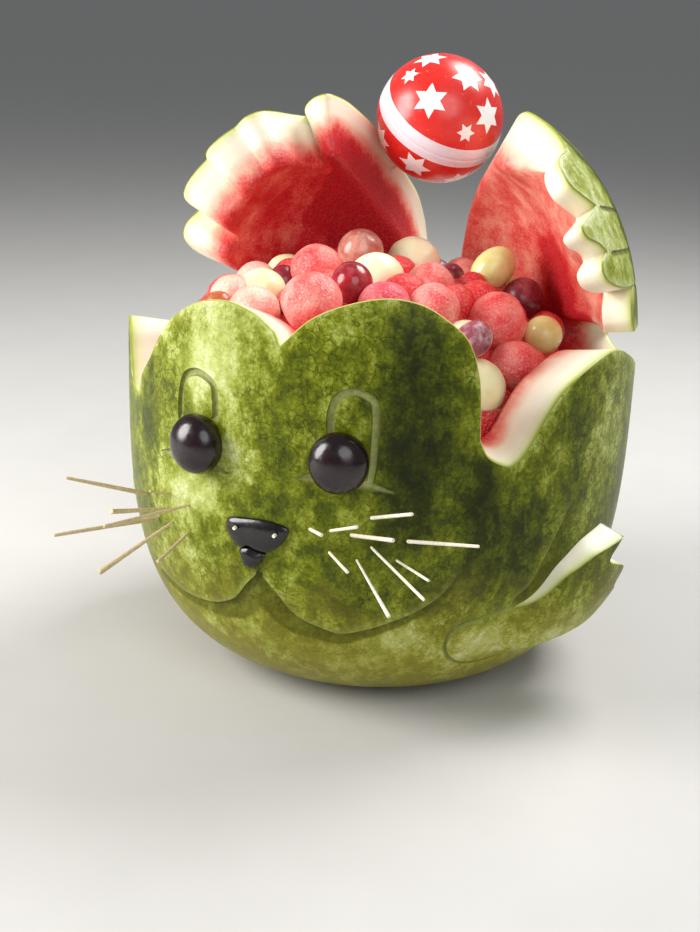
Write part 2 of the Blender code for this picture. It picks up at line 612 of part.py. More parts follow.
def make_heap():
    """One core under the fruit with every piece joined to it."""
    sides = 28
    depth = WALL + CORE_MARGIN
    lowest = -math.pi / 2
    side = direction((0, CORE_SIDE / MM))[1]
    rings = []
    for step in range(1, 7):
        point = on_melon(0, lowest + (side - lowest) * step / 6, depth)
        rings.append((-point.y, point.z))
    rings += [(CORE_EDGE * share, None) for share in (1, 0.84, 0.66, 0.46, 0.24)]
    points = []
    for radius, height in rings:
        for i in range(sides):
            angle = 2 * math.pi * i / sides
            x = radius * math.sin(angle)
            y = -radius * math.cos(angle)
            top = (mound(x / MM, y / MM) - CORE_SUNK) * MM
            points.append((x, y, top if height is None else height))
    bottom = len(points)
    floor = on_melon(0, lowest, depth).z
    points += [(0, 0, floor), (0, 0, (mound(0, 0) - CORE_SUNK) * MM)]
    faces = []
    for row in range(len(rings) - 1):
        for i in range(sides):
            j = (i + 1) % sides
            faces.append((row * sides + i, row * sides + j, (row + 1) * sides + j,
                          (row + 1) * sides + i))
    top = (len(rings) - 1) * sides
    for i in range(sides):
        j = (i + 1) % sides
        faces.append((bottom, j, i))
        faces.append((bottom + 1, top + i, top + j))
    heap = solid("fruit_heap", points, faces, MELON_FLESH)
    pieces = bpy.data.collections.new("fruit_pieces")
    bpy.context.scene.collection.children.link(pieces)
    for _, x, y, z, radius in all_fruit():
        mesh = bpy.data.meshes.new("fruit_piece")
        work = bmesh.new()
        bmesh.ops.create_icosphere(work, subdivisions=2, radius=radius * MM)
        for vertex in work.verts:
            vertex.co += Vector((x, y, z)) * MM
        work.to_mesh(mesh)
        work.free()
        pieces.objects.link(bpy.data.objects.new("fruit_piece", mesh))
    union = heap.modifiers.new("pieces", "BOOLEAN")
    union.operation = "UNION"
    union.operand_type = "COLLECTION"
    union.collection = pieces
    union.solver = "EXACT"
    bpy.context.view_layer.update()
    joined = bpy.data.meshes.new_from_object(
        heap.evaluated_get(bpy.context.evaluated_depsgraph_get()))
    heap.modifiers.clear()
    heap.data = joined
    for piece in list(pieces.objects):
        bpy.data.objects.remove(piece)
    bpy.data.collections.remove(pieces)
    return heap


def all_fruit():
    """The pieces in front, then those that they hide, set where there is room on the mound."""
    placed = list(FRUIT)
    draw = random.Random(FRUIT_SEED)
    tries = 0
    wanted = len(FRUIT) + MORE_FRUIT
    while len(placed) < wanted and tries < 9000:
        tries += 1
        angle = draw.uniform(0, 2 * math.pi)
        reach = 78.0 * math.sqrt(draw.random())
        kind = draw.choice(("ball", "ball", "grape"))
        radius = draw.uniform(10.5, 13.0) if kind == "ball" else draw.uniform(7.5, 9.5)
        x = reach * math.sin(angle)
        y = -reach * math.cos(angle)
        z = mound(x, y) - draw.uniform(0, 5)
        if reach + radius > 83.5:
            continue
        if all(math.dist((x, y, z), other[1:4]) > 0.93 * (radius + other[4])
               for other in placed):
            placed.append((kind, x, y, z, radius))
    return placed


for old in list(bpy.data.objects):
    bpy.data.objects.remove(old)

RIND = material("rind", (0.13, 0.22, 0.02), 0.4)
MELON_FLESH = material("melon_flesh", (0.75, 0.12, 0.1), 0.5)
GRAPE_BLACK = material("black_grape", (0.012, 0.006, 0.012), 0.2)
PICK_WOOD = material("pick_wood", (0.72, 0.62, 0.4), 0.6)
BALL_RED = material("ball_red", (0.6, 0.015, 0.02), 0.25)

make_shell()
make_heap()
for eye_name, eye_place in EYE_PLACES.items():
    make_eye(eye_name, eye_place)
make_nose_piece("nose_bridge", NOSE_BRIDGE)
make_nose_piece("nose_tip", NOSE_TIP)
make_pins()
make_whiskers()
make_ball()
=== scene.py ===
"""Looks of the watermelon fruit bowl that is carved as a seal.

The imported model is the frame.  The melon, every piece of fruit, the eyes, the nose, the picks and
the ball are modelled finely at their places on it, and given materials made of nodes.

Metres, +Z up.  A place on the melon is given as in the model's source: its turn (degrees round
the melon, 0 at the middle of the face, positive towards the seal's left, +X) and its height in
mm.  A spot is the same place as an array of turn and tilt in radians, seen from the melon's heart.
"""

import math
import random

import bmesh
import bpy
import numpy as np
from mathutils import Matrix, Vector, noise
from mathutils.geometry import delaunay_2d_cdt
from mathutils.kdtree import KDTree


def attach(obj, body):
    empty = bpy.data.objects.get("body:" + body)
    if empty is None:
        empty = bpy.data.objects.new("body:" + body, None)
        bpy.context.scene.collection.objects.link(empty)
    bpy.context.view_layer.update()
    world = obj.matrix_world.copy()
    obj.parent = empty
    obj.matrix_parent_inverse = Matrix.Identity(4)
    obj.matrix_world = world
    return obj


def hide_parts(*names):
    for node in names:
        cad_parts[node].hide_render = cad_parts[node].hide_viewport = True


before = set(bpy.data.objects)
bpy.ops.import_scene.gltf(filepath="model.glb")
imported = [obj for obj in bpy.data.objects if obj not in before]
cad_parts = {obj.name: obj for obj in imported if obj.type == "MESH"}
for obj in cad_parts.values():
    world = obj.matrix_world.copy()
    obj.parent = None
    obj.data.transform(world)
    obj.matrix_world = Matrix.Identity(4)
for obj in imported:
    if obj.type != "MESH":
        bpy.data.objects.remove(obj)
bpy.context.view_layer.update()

MM = 0.001

# ---- the melon ----
GIRTH_RADIUS = 116.0 * MM
WIDEST = 145.6 * MM
BELOW = 148.5 * MM
ABOVE = 120.3 * MM
BLUNT_BELOW = 3.5
BLUNT_ABOVE = 2.3
WALL = 27.0  # rind and flesh left by the scoop, in mm
GAP = 0.3 * MM
HEART = np.array((0.0, 0.0, WIDEST))
FOOT_POINTS = 48  # points round the flat cut that the melon stands on
RIND, FLESH = 0, 1  # the melon's two finishes

SKIN_STEP = 2.4 * MM
CAVITY_STEP = 3.2 * MM
RIM_STEPS = 10  # points between two given places of the rim
SAME_POINT = 1e-9  # chart points nearer than this are one to the triangulation

# ---- the cut rim ----
HEAD_NOTCH = (3, 169)
LEFT_LOBE = [HEAD_NOTCH, (9, 180.5), (16, 187), (24, 190.3), (31, 188.5), (36.5, 182.5), (41, 174),
             (43.3, 160.5), (44, 147), (44.3, 134)]
LEFT_VALLEY = [(44.3, 134), (46.2, 127), (50, 123), (53, 124), (56, 131)]
LEFT_SHOULDER = [(56, 131), (58.5, 139), (63, 150), (70, 157.5), (78, 162), (85, 161), (92, 156),
                 (102, 148), (114, 143), (126, 142)]
LEFT_SLIT = [(126, 142), (132, 146), (131, 152), (122, 157), (110, 162), (96, 164)]
LEFT_FLUKE_LOBES = [
    [(96, 164), (93.6, 170), (94.2, 178), (98, 183.5)],
    [(98, 183.5), (88.6, 185.5), (81.6, 189.5), (79.2, 194), (79.6, 198.3), (83, 202)],
    [(83, 202), (80.4, 205.5), (76.4, 208.5), (75.1, 212.4), (77.4, 215.2), (86.5, 219.5)],
    [(86.5, 219.5), (81.5, 224.5), (78.6, 229), (79.6, 235), (84.4, 239), (92, 240)]]
LEFT_FLUKE_TOP = [(92, 240), (104, 246), (118, 251.5), (131, 252), (145, 248.5), (157, 241),
                  (166.5, 230), (173.5, 213), (177.5, 190), (179, 170), (180.5, 154)]
TAIL_GAP = [(180.5, 154), (186, 148), (191, 154)]
RIGHT_FLUKE_TOP = [(191, 154), (192.4, 178), (193.2, 189), (195.2, 202), (199.5, 215), (204.5, 228),
                   (211, 239.5), (220, 248.3), (228, 252.3), (235, 253.8), (239.6, 251.6),
                   (239.4, 246.5), (235.6, 241.8)]
RIGHT_FLUKE_LOBES = [
    [(235.6, 241.8), (243, 243.2), (252, 245), (260.5, 245.6), (266.3, 243.2), (266.2, 237.8)],
    [(266.2, 237.8), (269.8, 233.6), (271.8, 228.4), (271.2, 224.8), (268.4, 222)],
    [(268.4, 222), (271, 216), (272.4, 210), (271.6, 204.6), (268, 200.4), (261.6, 195.4)],
    [(261.6, 195.4), (265.4, 190.4), (266.2, 184.4), (264, 179), (258, 172), (249.5, 165.8)]]
RIGHT_SLIT = [(249.5, 165.8), (240, 160), (230, 154), (226.5, 147.5), (230, 143.5), (238, 141.5)]
RIGHT_SHOULDER = [(238, 141.5), (252, 140.6), (266, 141), (280, 144.5), (292, 150.8), (300, 157),
                  (306, 159.2), (309.5, 155), (311, 147), (313, 138)]
RIGHT_VALLEY = [(313, 138), (315, 132), (317.5, 131), (319.5, 135)]
RIGHT_LOBE = [(319.5, 135), (321, 141.5), (325.3, 150), (329.3, 160.7), (333.2, 169.8),
              (337, 175.4), (340.6, 179.5), (345, 182.1), (349.4, 183.1), (353.1, 182.2),
              (357.6, 179.5), (361.3, 175), (363, 169)]

LEAN_PLAIN = 0.5  # how far the cut leans back across the wall, in mm
LEAN_SHOULDER = [0.5, 0.5, 0.5, 0.5, 0.5, 1, 3, 6, 8, 8]
LEAN_TAIL = [0.5, 4, 8, 11, 12, 12, 11, 9, 7, 5, 3, 1.5]
LOBE_WALLS = [13.5, 13.0, 11.0, 10.5]  # the scoop thinned the wall at the left fluke's lobes
SLIT_WALLS = [WALL] * 4 + [20, LOBE_WALLS[0]]
TOP_WALLS = [LOBE_WALLS[-1], 20] + [WALL] * 9
LEAN_SLIT = [8, 8, 6, 3, 1, 0.5]
RIPE_SHOULDERS = (0.85, 0.75)  # how early the flesh turns red, on the left and on the right
RIPE_SLIT = [0.9, 1.6, 1.8, 1.7, 1.3, 1.0]
RIPE_TOP = [1, 0.8] + [0.88] * 8 + [1]
RIPE_TAIL = [1.0, 1.4, 1.8, 2.0, 2.0, 2.0, 1.85, 1.65, 1.5, 1.4, 1.3, 1.1]
TRIM = 0.7  # the knife's slant leaves this much flesh beside the skin, in mm
ROUND_THICK = 4.0  # rounding of the wall's inner edge where it is THICK_WALL, in mm
THICK_WALL = 24.0
ROUND_THIN = 1.2  # and where it is THIN_WALL
THIN_WALL = 14.0
ROUND_ANGLES = (0, 30, 60)
WALL_ROWS = (0.045, 0.1, 0.22, 0.36, 0.5, 0.64, 0.78, 0.9)
THIN_REACH = 30.0  # the thinned wall is at its full thickness this far in, in mm

# ---- colour of the flesh in the hollow ----
# it is given as a depth in the melon, in mm; on the left fluke's inner face it also carries painted
# light
RIPENING = 5.0  # it looks this much deeper RIPE_REACH away from the rim
RIPE_REACH = 22.0
SHY = 1.0  # and this much less deep than the wall is thick
LOBE_FLESH = 19.0  # at least this deep behind a wall that the scoop has thinned
LOBE_RIPENING = 2.5
LOBE_THICK = 22.0  # a wall this thick isn't thinned
LOBE_FADE = 8.0
LOBE_RIM = 17.5  # this deep at the rim where the wall is under LOBE_RIM_WALL
LOBE_RIM_WALL = 20.0
SALMON_TURNS = (66, 186)  # the left fluke's inner face is salmon above a height, its paleness partly painted light where that face is lit
SALMON_FROM = 135
SALMON = 21.8
SALMON_CLOUDS = 2.2
SHADED_RED_TURN = 130  # with a soft, deep red patch low down, where that face is in shade and its painted light is left off
SHADED_RED_WIDTH = 9
SHADED_RED_TOP = 206
MOTTLED_FROM = (210, 165)  # the right fluke's is mottled from this turn and height
MOTTLED = 24.7
MOTTLED_CLOUDS = 2.5
MOTTLED_SHARE = 0.85
RIM_GLOW = 0.22  # the rind is this much lighter beside the cut
RIM_GLOW_REACH = 2.6 * MM
CARVED_FADE = 2.0 * MM  # the carving runs out this near the cut

# ---- carved lines ----
# profile: offsets to the left of the run and depths, in mm, and how pale the cut is there.  Along
# the run, wide stretches the offsets, right only those on its right, and deep the depths.
BROW = [(1.8, 0, 0), (1.35, 1.5, 0.85), (-1.1, 1.35, 1), (-1.7, 0, 0)]
CHEEK = [(0.6, 0, 0.4), (0.05, 2.0, 0.1), (-0.6, 1.8, 0), (-1.5, 1.5, 0), (-4.2, 0, 0)]
CORNER = [(2.4, 0, 0), (1.5, 0.9, 1.3), (0, 1.5, 1.3), (-2.0, 0, 0)]
SCRATCH = [(0.6, 0, 0.7), (0, 0.8, 0.4), (-1.6, 0, 0)]
CREASE = [(0.6, 0, 0.3), (0, 1.5, 0), (-3, 0.9, 0), (-8, 0, 0)]
SCALE = [(0.5, 0, 0.3), (0, 0.7, 0), (-2.4, 0, 0)]
CARVINGS = [
    {"run": [(89.6, 218.7), (95, 217.2), (100, 215.7), (106, 213.6)], "profile": SCALE,
     "deep": [1, 1, 0.9, 0.5]},
    {"run": [(86.2, 201.3), (91, 200.5), (97, 199.4), (104, 198)], "profile": SCALE,
     "deep": [1, 1, 0.9, 0.5]},
    {"run": [(100.8, 183.2), (104.5, 182.6), (110, 181.6)], "profile": SCALE,
     "deep": [1, 0.9, 0.5]},
    {"run": [(14.2, 136), (14.3, 145), (15.6, 151), (18.6, 153.5), (21.8, 151), (22.9, 146),
             (22.9, 126), (22.4, 117)], "profile": BROW},
    {"run": [(-21.6, 131), (-21.4, 141), (-20, 148.8), (-16.6, 151.8), (-13, 149.8),
             (-11.7, 146), (-11.3, 135)], "profile": BROW},
    {"run": [(-0.2, 69), (3.2, 61.4), (5.6, 55.6), (8.7, 51.1), (13.9, 47.4), (17.5, 46.2),
             (23, 49.3), (28.4, 53.8), (34.2, 59.7), (39, 67.5), (42, 77)], "profile": CHEEK,
     "right": [2.6, 2.6, 1.6, 1, 0.8, 0.6, 0.5], "deep": [1, 1, 1, 0.9, 0.7, 0.5, 0.1]},
    {"run": [(-36.6, 50), (-29.8, 47.4), (-23, 46.5), (-14.5, 48.7), (-8.7, 53.7), (-6.4, 58),
             (-4, 64), (-1.6, 69)], "profile": CHEEK, "right": [1, 1, 1.1, 1.8, 2.6, 2.2],
     "deep": [0.5, 1, 1, 1, 1, 1]},
    {"run": [(15, 114.6), (21.5, 115.2), (27.6, 112.5)], "profile": CORNER,
     "wide": [1, 1, 0.1], "deep": [1, 1, 0.4]},
    {"run": [(7.7, 116), (10.2, 116.2), (13, 117)], "profile": CORNER,
     "wide": [0.15, 1.1, 1.1], "deep": [0.5, 1, 1]},
    {"run": [(-28.8, 111.9), (-25.4, 112.4), (-22, 113)], "profile": CORNER,
     "wide": [0.15, 1, 1], "deep": [0.5, 1, 1]},
    {"run": [(-15, 113.6), (-12, 113.4), (-7.8, 112.3)], "profile": CORNER,
     "wide": [1, 1, 0.1], "deep": [1, 1, 0.4]},
    {"run": [(57, 56.9), (50, 53.5), (43.5, 49.5), (41.5, 42), (43, 34), (47.5, 28.5),
             (54, 27.8), (62, 30.8)], "profile": SCRATCH, "deep": [0.2, 0.6, 1, 1, 1, 1, 0.3]},
    {"run": [(57, 60.5), (60.5, 66), (63, 76), (66, 88), (69.5, 101)], "profile": CREASE,
     "right": [0.5, 0.8, 1, 0.8, 0.5], "deep": [1, 1, 0.8, 0.5, 0.1]}]
CARVED_SPACING = 1.3 * MM
CARVED_MARGIN = 0.5 * MM
CROSSING = 1.05  # cuts that cross go no deeper than this share of the deeper one

# ---- the rind's pattern ----
# tones, partly the rind's own patches and partly painted light and shade: a painted highlight on
# the seal's right head lobe, painted light on the face at negative turns, low down and on the left
# fluke's rind, and painted shade on the seal's left of the face. Each: turn, height, half-widths
# round and up in mm, and how much lighter
PATCHES_AND_PAINTED_LIGHT = [
    (-11, 161, 22, 19, 0.36), (-17, 152, 9, 8, 0.16), (-20, 100, 20, 14, 0.34),
    (-7, 124, 10, 15, 0.2), (-40, 150, 8, 30, 0.1), (-24, 72, 18, 14, 0.17),
    (17, 166, 12, 13, 0.03), (17, 100, 12, 12, 0.04), (62, 118, 14, 16, 0.12),
    (82, 124, 18, 26, 0.16), (30, 46, 12, 10, 0.3), (50, 40, 14, 10, 0.26), (-8, 36, 24, 12, 0.1),
    (18, 30, 20, 8, 0.2), (75, 40, 30, 14, 0.2), (3, 140, 12, 34, -0.08),
    (31, 142, 13, 52, -0.42), (46, 104, 10, 26, -0.28), (58, 92, 14, 20, -0.18),
    (92, 214, 40, 46, 0.3), (44, 34, 60, 16, 0.11), (68, 140, 10, 20, -0.16),
    (22, 62, 16, 12, -0.12), (54, 72, 12, 14, -0.12), (-34, 128, 8, 26, -0.12),
    (8, 84, 14, 16, -0.05), (-14, 110, 26, 50, 0.04), (60, 110, 24, 44, -0.04)]
PATCH_SPREAD = 1.2
PLAIN_TONE = 0.5
PATCHED_TURNS = (-52, 96)  # elsewhere the rind has even stripes
PATCHED_FADE = 14
STRIPES = 13
STRIPE_TONE = 0.44
STRIPE_SWING = 0.26
STRIPE_BEND = 0.6
STRIPE_WAVE = 17  # the stripes bend once in 2 pi times this height, in mm

# ---- fins ----
FIN_TOP = [(43.5, 49.5), (50, 53.5), (58.5, 57), (63, 61.8), (67, 70.5), (70, 74.5), (74, 79),
           (78, 81.2), (84.3, 82.7)]
FIN_TIPS = [(82, 78.3), (80, 73.5), (84.5, 69), (90, 64.5), (90.6, 61), (87.5, 56), (90.8, 52.5),
            (91.2, 48)]
FIN_BELLY = [(89, 43.5), (84.5, 39), (77.6, 36.5), (70, 34), (62, 30.8), (54, 27.8), (47.5, 28.5),
             (43, 34), (41.5, 42)]
FIN_RIGHT_SHIFT = 6
FIN_FLARE = 11.35 * MM
FIN_DROP = 0.3
FIN_ROOT_TURN = 57.0
FIN_TIP_TURN = 84.5
FIN_LOW = 26.0 * MM
FIN_FULL = 56.0 * MM
FIN_LOW_SHARE = 0.6
FIN_WALL = 0.6 * MM
FIN_CURVE = 1.8
FINS = [(1, 0), (-1, FIN_RIGHT_SHIFT)]  # which side, and how many degrees further back

# ---- garnish ----
EYE_PLACES = {"eye_left": (16.4, 125.6), "eye_right": (345.6, 123.3)}
EYE_RADII = (11.5 * MM, 11.9 * MM, 8.8 * MM)
EYE_SWELL = 1.06
EYE_STANDOFF = 4.5 * MM
NOSE_PLACE = (358.0, 82.5)
NOSE_BRIDGE = [(-12.4, 7), (-12, 10.2), (-9, 11.8), (-3.2, 12.8), (2.6, 13.4), (8.4, 13.2),
               (13.4, 12.3), (16.5, 10.6), (15.8, 7.2), (13.3, 3.8), (9.8, 1.2), (6.4, -0.4),
               (2.2, -0.2), (-2, 1.1), (-5.9, -0.6), (-9, 1.8), (-11.2, 4.2)]
NOSE_TIP = [(-6, -1.4), (-2, 0.3), (2.2, -1.0), (6.0, -1.4), (4.7, -4), (3.0, -6.4),
            (0.7, -8.1), (-1.4, -8.6), (-3.5, -8.2), (-4.8, -6.8), (-5.4, -4)]
NOSE_THICK = 3.0
NOSE_LIFT = 0.4
# the dome of a slice: share of the outline, and height as a share of the thickness
NOSE_DOME = ((1.0, 0.2), (0.99, 0.34), (0.965, 0.46), (0.92, 0.58), (0.84, 0.7), (0.72, 0.82),
             (0.56, 0.92), (0.38, 0.98), (0.2, 1.0))
NOSE_PINS = {"nose_pin_right": (-6.0, 10.0), "nose_pin_left": (12.0, 10.0)}
PIN_RADIUS = 0.75 * MM
PIN_LENGTH = 1.6 * MM
BALL_RADIUS = 31.1 * MM
BALL_PLACE = (186.4, 80.3 * MM, 241.8 * MM)
BALL_PICK_TURN = 265.0
BALL_PICK_DIP = 47.0
BALL_PICK_REACH = 38.0 * MM
BALL_PICK_RADIUS = 1.0 * MM
# the rounded ends of a stick: share of the length, and share of the width
STICK_PROFILE = ((0.0, 0.7), (0.004, 0.86), (0.012, 0.96), (0.03, 1.0), (0.5, 1.0), (0.97, 1.0),
                 (0.99, 0.97), (0.997, 0.88), (1.0, 0.72))
STICK_SIDES = 20
# places (turn and height), the way it leans along the skin and how steeply it stands, in degrees,
# length and widths at root and tip in mm, which SLIM scales
SLIM = {"left": 0.88, "right": 1.06}
WHISKERS = {
    "left": [
        (10.6, 94.9, 39, 59, 30, 1.7, 1.7), (14.7, 95.0, 43, 51, 34, 1.5, 1.6),
        (22.7, 101.9, 41, 53, 36, 1.8, 1.6), (18.8, 94.0, 31, 51, 36, 1.8, 2.0),
        (29.7, 92.3, 18, 40, 36, 1.9, 1.5), (14.6, 85.7, 26, 63, 32, 1.3, 1.5),
        (20.2, 83.6, -23, 63, 38, 1.0, 1.9), (22.9, 89.7, -16, 55, 40, 1.3, 1.5),
        (28.3, 83.8, 38, 69, 34, 1.2, 1.3)],
    "right": [
        (322.7, 86.6, 81, 66, 40, 2.0, 1.3), (333.5, 93.5, 34, 44, 26, 1.0, 1.0),
        (332.2, 85.8, 48, 66, 34, 1.2, 2.1), (340.7, 92.7, 148, 85, 42, 1.2, 1.6),
        (327.9, 78.7, 67, 81, 50, 1.9, 1.4), (334.3, 81.0, -54, 76, 42, 1.1, 2.2),
        (339.7, 79.2, 3, 63, 30, 1.2, 1.5)]}

# ---- fruit heap ----
# the pieces in front: finish, x, y, z and radius in mm, and how much longer than wide
FRUIT = [
    ("red_light", -6.9, -60.5, 175.0, 13.1, 1.0), ("red_pale", -34.2, -61.4, 167.4, 11.6, 1.0),
    ("honeydew", -45.9, -33.0, 169.2, 11.6, 1.0), ("red_pale", -55.8, -42.0, 168.0, 10.2, 1.0),
    ("grape_brown", -55.2, -56.4, 166.2, 7.1, 1.1), ("red_pale", -65.1, -2.0, 166.6, 10.5, 1.0),
    ("honeydew", -60.5, 19.9, 167.9, 10.1, 1.0), ("grape_red", -47.6, -8.6, 170.8, 7.5, 1.1),
    ("red_bright", -33.4, -2.2, 176.2, 12.5, 1.0), ("grape_wine", -1.2, -32.8, 179.6, 9.5, 1.1),
    ("grape_blush", -26.6, 31.0, 181.0, 11.2, 1.0), ("cream", -4.0, 0.1, 174.6, 13.1, 1.0),
    # The ball at x -8.3 mm is given the paler cream finish as painted light, where the toy ball's
    # shadow falls on it.
    ("cream", -8.3, 53.7, 173.8, 13.4, 1.0), ("red_rose", 16.9, -38.0, 171.3, 11.9, 1.0),
    ("red_light", 15.9, 16.2, 171.5, 11.7, 1.0), ("red_light", 35.0, -25.8, 170.8, 11.6, 1.0),
    ("red_light", 12.9, 66.7, 167.6, 10.0, 1.0), ("grape_red", 16.4, 39.9, 171.6, 7.2, 1.1),
    ("grape_green", 35.0, 47.8, 177.0, 10.2, 1.35), ("red_deep", 40.0, 15.7, 166.2, 11.1, 1.0),
    ("grape_red", 50.0, 50.2, 164.4, 10.0, 1.1), ("red_bright", 57.0, -3.9, 164.2, 13.2, 1.0),
    ("grape_green", 69.4, 24.8, 154.3, 8.9, 1.0), ("red_deep", 62.0, 50.0, 150.0, 9.7, 1.0),
    ("grape_bloom", 60.6, -43.6, 164.6, 7.8, 1.15), ("red_bright", 69.6, -13.9, 147.8, 11.5, 1.0),
    ("honeydew", 62.4, -42.4, 143.3, 13.0, 1.0), ("cream", 50.8, -27.8, 160.4, 8.3, 1.0)]
OVAL_AXIS = Vector((0.52, 0.48, 0.69))  # the way the long grape lies
SUNK = 6.0  # the hidden pieces lie this much deeper, in mm
RED_BEFORE = 64.0  # and before this y they are red
MORE_FRUIT = 40
MOST_TRIES = 9000
HEAP_REACH = 78.0  # their middles lie within this radius, in mm
HEAP_EDGE = 83.5  # and they themselves within this one
UNEVEN = 5.0  # they lie up to this much under the mound
BALL_RADII = (10.5, 13.0)
GRAPE_RADII = (7.5, 9.5)
HIDDEN_GRAPE = 1.12  # how much longer than wide
CROWDING = 0.93  # two middles are at least this share of both radii apart
HIDDEN_FINISHES = {"ball": ("red_light", "red_bright", "honeydew", "red_deep"),
                   "grape": ("grape_red", "grape_green", "grape_bloom")}
FRUIT_SEED = 11
FLATS = 4  # flats that the scoop leaves on a ball
FLAT_FROM = (0.9, 0.97)  # where a flat begins, as a share of the radius
FLAT_SHARE = 0.7  # how much of what lies beyond is taken off
LUMPS = ((0.025, 0.55), (0.008, 0.16))  # height and size of a ball's lumps in radii
LONG_GRAPE = 1.3  # a grape at least this long lies along OVAL_AXIS
MOUND_TOP = 182.0
MOUND_FALL = 7.0
MOUND_REACH = 65.0
MOUND_BACK = 12.0  # its top lies this far behind the melon's axis
SLOPE_FROM = 38.0
SLOPE = 0.7
DIP_MIDDLE = (70.0, -55.0)
DIP_DEPTH = 12.0
DIP_WIDTH = 22.0
CORE_SUNK = 7.0
CORE_SIDE = 134.0 * MM
CORE_EDGE = 86.0 * MM
CORE_MARGIN = 1.8
BED_SIDES = 96
BED_ROWS = 14  # rings of the bed up the wall of the hollow
BED_RINGS = 22  # and over its top
BED_LUMPS = 1.2 * MM

# ---- ball ----
BAND_TURN = 55.8  # the way the band's axis points, round the melon and up
BAND_RISE = 50.8
BAND_LOW = -3.3  # latitudes of the band's edges about that axis
BAND_HIGH = 16.3
# six-pointed stars: latitude, longitude about the band's axis, radius in mm, turn in its own plane
STARS = [(44.2, -155.2, 9.0, 8), (39.2, 157.8, 5.0, 20), (83.0, -94.5, 8.8, 0),
         (45.2, -69.2, 9.0, 12), (31.8, -101.2, 4.8, 5), (-18.6, -133.8, 8.8, 10),
         (54.0, 124.4, 8.6, 0), (-23.9, 179.6, 8.4, 15), (-25.0, -84.0, 8.4, 0),
         (60.0, -13.3, 8.8, 10), (38.0, 60.0, 8.6, 12), (34.0, 8.0, 5.0, 0), (36.0, 98.0, 5.0, 0),
         (-30.0, -20.0, 8.6, 0), (-34.0, 50.0, 8.8, 20), (-26.0, 110.0, 5.0, 0),
         (-62.0, 170.0, 8.8, 0), (-64.0, -50.0, 8.6, 10), (-58.0, 95.0, 8.4, 0)]
STAR_WAIST = 0.53  # inner radius of a star over its outer one
SEAM = (BAND_LOW + BAND_HIGH) / 2 - 1.5  # latitude of the fine seam along the band
SEAM_WIDTH = 0.5
SEAM_DEPTH = 0.006
AROUND = 120  # points round each line of latitude
BALL_POINTS = 9000
CHART_POLE = 1.02  # the ball is charted from this far along its axis, in radii
RED, WHITE, BAND = 0, 1, 2  # the ball's three finishes

# ---- camera ----
CAMERA_PLACE = Vector((0.2698, -0.6221, 0.3085))
CAMERA_TURN = 24.5  # seen from above, to the left of the way the face looks
CAMERA_DIP = 18.21
CAMERA_ROLL = 2.23
CAMERA_LENS = 77.14
SENSOR = 36.0

# ---- light ----
# name, the way from the melon's heart (right, up and nearer as the camera sees it), distance and
# size in m, power in W, and colour
LAMPS = [("side_lamp", (-0.9, 0.34, 0.3), 1.0, (0.6, 0.8), 14.8, (1.0, 0.98, 0.95)),
         ("top_lamp", (0.5, 0.85, -0.1), 1.0, (0.65, 0.5), 11.4, (1.0, 0.99, 0.97)),
         ("front_lamp", (0.25, 0.25, 1.0), 1.5, (1.1, 1.1), 8.6, (1.0, 1.0, 1.0))]
SKY = (0.85, 0.88, 0.92)
SKY_STRENGTH = 0.25
FLOOR_REACH = 60.0
FLOOR_DROP = 0.2 * MM


# ---- surface of the melon ----
def on_melon(turn, tilt, depth=0.0):
    """Points in the directions turn, tilt from the melon's heart, depth in mm under the skin."""
    depth = np.asarray(depth) * MM
    upper = np.asarray(tilt) >= 0
    tall = np.where(upper, ABOVE, BELOW)
    power = np.where(upper, BLUNT_ABOVE, BLUNT_BELOW)
    across = np.abs(np.cos(tilt)) / (GIRTH_RADIUS - depth)
    along = np.abs(np.sin(tilt)) / (tall - depth)
    reach = (across ** power + along ** power) ** (-1 / power)
    radius = reach * np.cos(tilt)
    return np.stack(np.broadcast_arrays(radius * np.sin(turn), -radius * np.cos(turn),
                                        WIDEST + reach * np.sin(tilt)), axis=-1)


def points_at(spots, depth=0.0):
    """Points at the spots, depth in mm under the skin."""
    return on_melon(spots[:, 0], spots[:, 1], depth)


def way_to(turn, rise=0.0):
    """Unit vector towards a turn round the melon and a rise above the level, in degrees."""
    turn = math.radians(turn)
    rise = math.radians(rise)
    return np.array((math.sin(turn) * math.cos(rise), -math.cos(turn) * math.cos(rise),
                     math.sin(rise)))


def spots_at(places):
    """Spots of the places given as turn in degrees and height in mm."""
    places = np.asarray(places, float)
    rise = places[..., 1] * MM - WIDEST
    tall = np.where(rise < 0, BELOW, ABOVE)
    power = np.where(rise < 0, BLUNT_BELOW, BLUNT_ABOVE)
    radius = GIRTH_RADIUS * (1 - (np.abs(rise) / tall) ** power) ** (1 / power)
    return np.stack((np.radians(places[..., 0]), np.arctan2(rise, radius)), axis=-1)


def spots_of(points):
    """Spots that points in space are seen at from the melon's heart."""
    radius = np.hypot(points[..., 0], points[..., 1])
    return np.stack((np.arctan2(points[..., 0], -points[..., 1]),
                     np.arctan2(points[..., 2] - WIDEST, radius)), axis=-1)


def chart(spots):
    """Spots laid on a plane: the blossom end in the middle, the stem end far out."""
    spread = np.tan((spots[:, 1] + math.pi / 2) / 2)
    return np.column_stack((spread * np.sin(spots[:, 0]), -spread * np.cos(spots[:, 0])))


def from_chart(flat):
    """The spots of points on that plane."""
    return np.column_stack((np.arctan2(flat[:, 0], -flat[:, 1]),
                            2 * np.arctan(np.hypot(flat[:, 0], flat[:, 1])) - math.pi / 2))


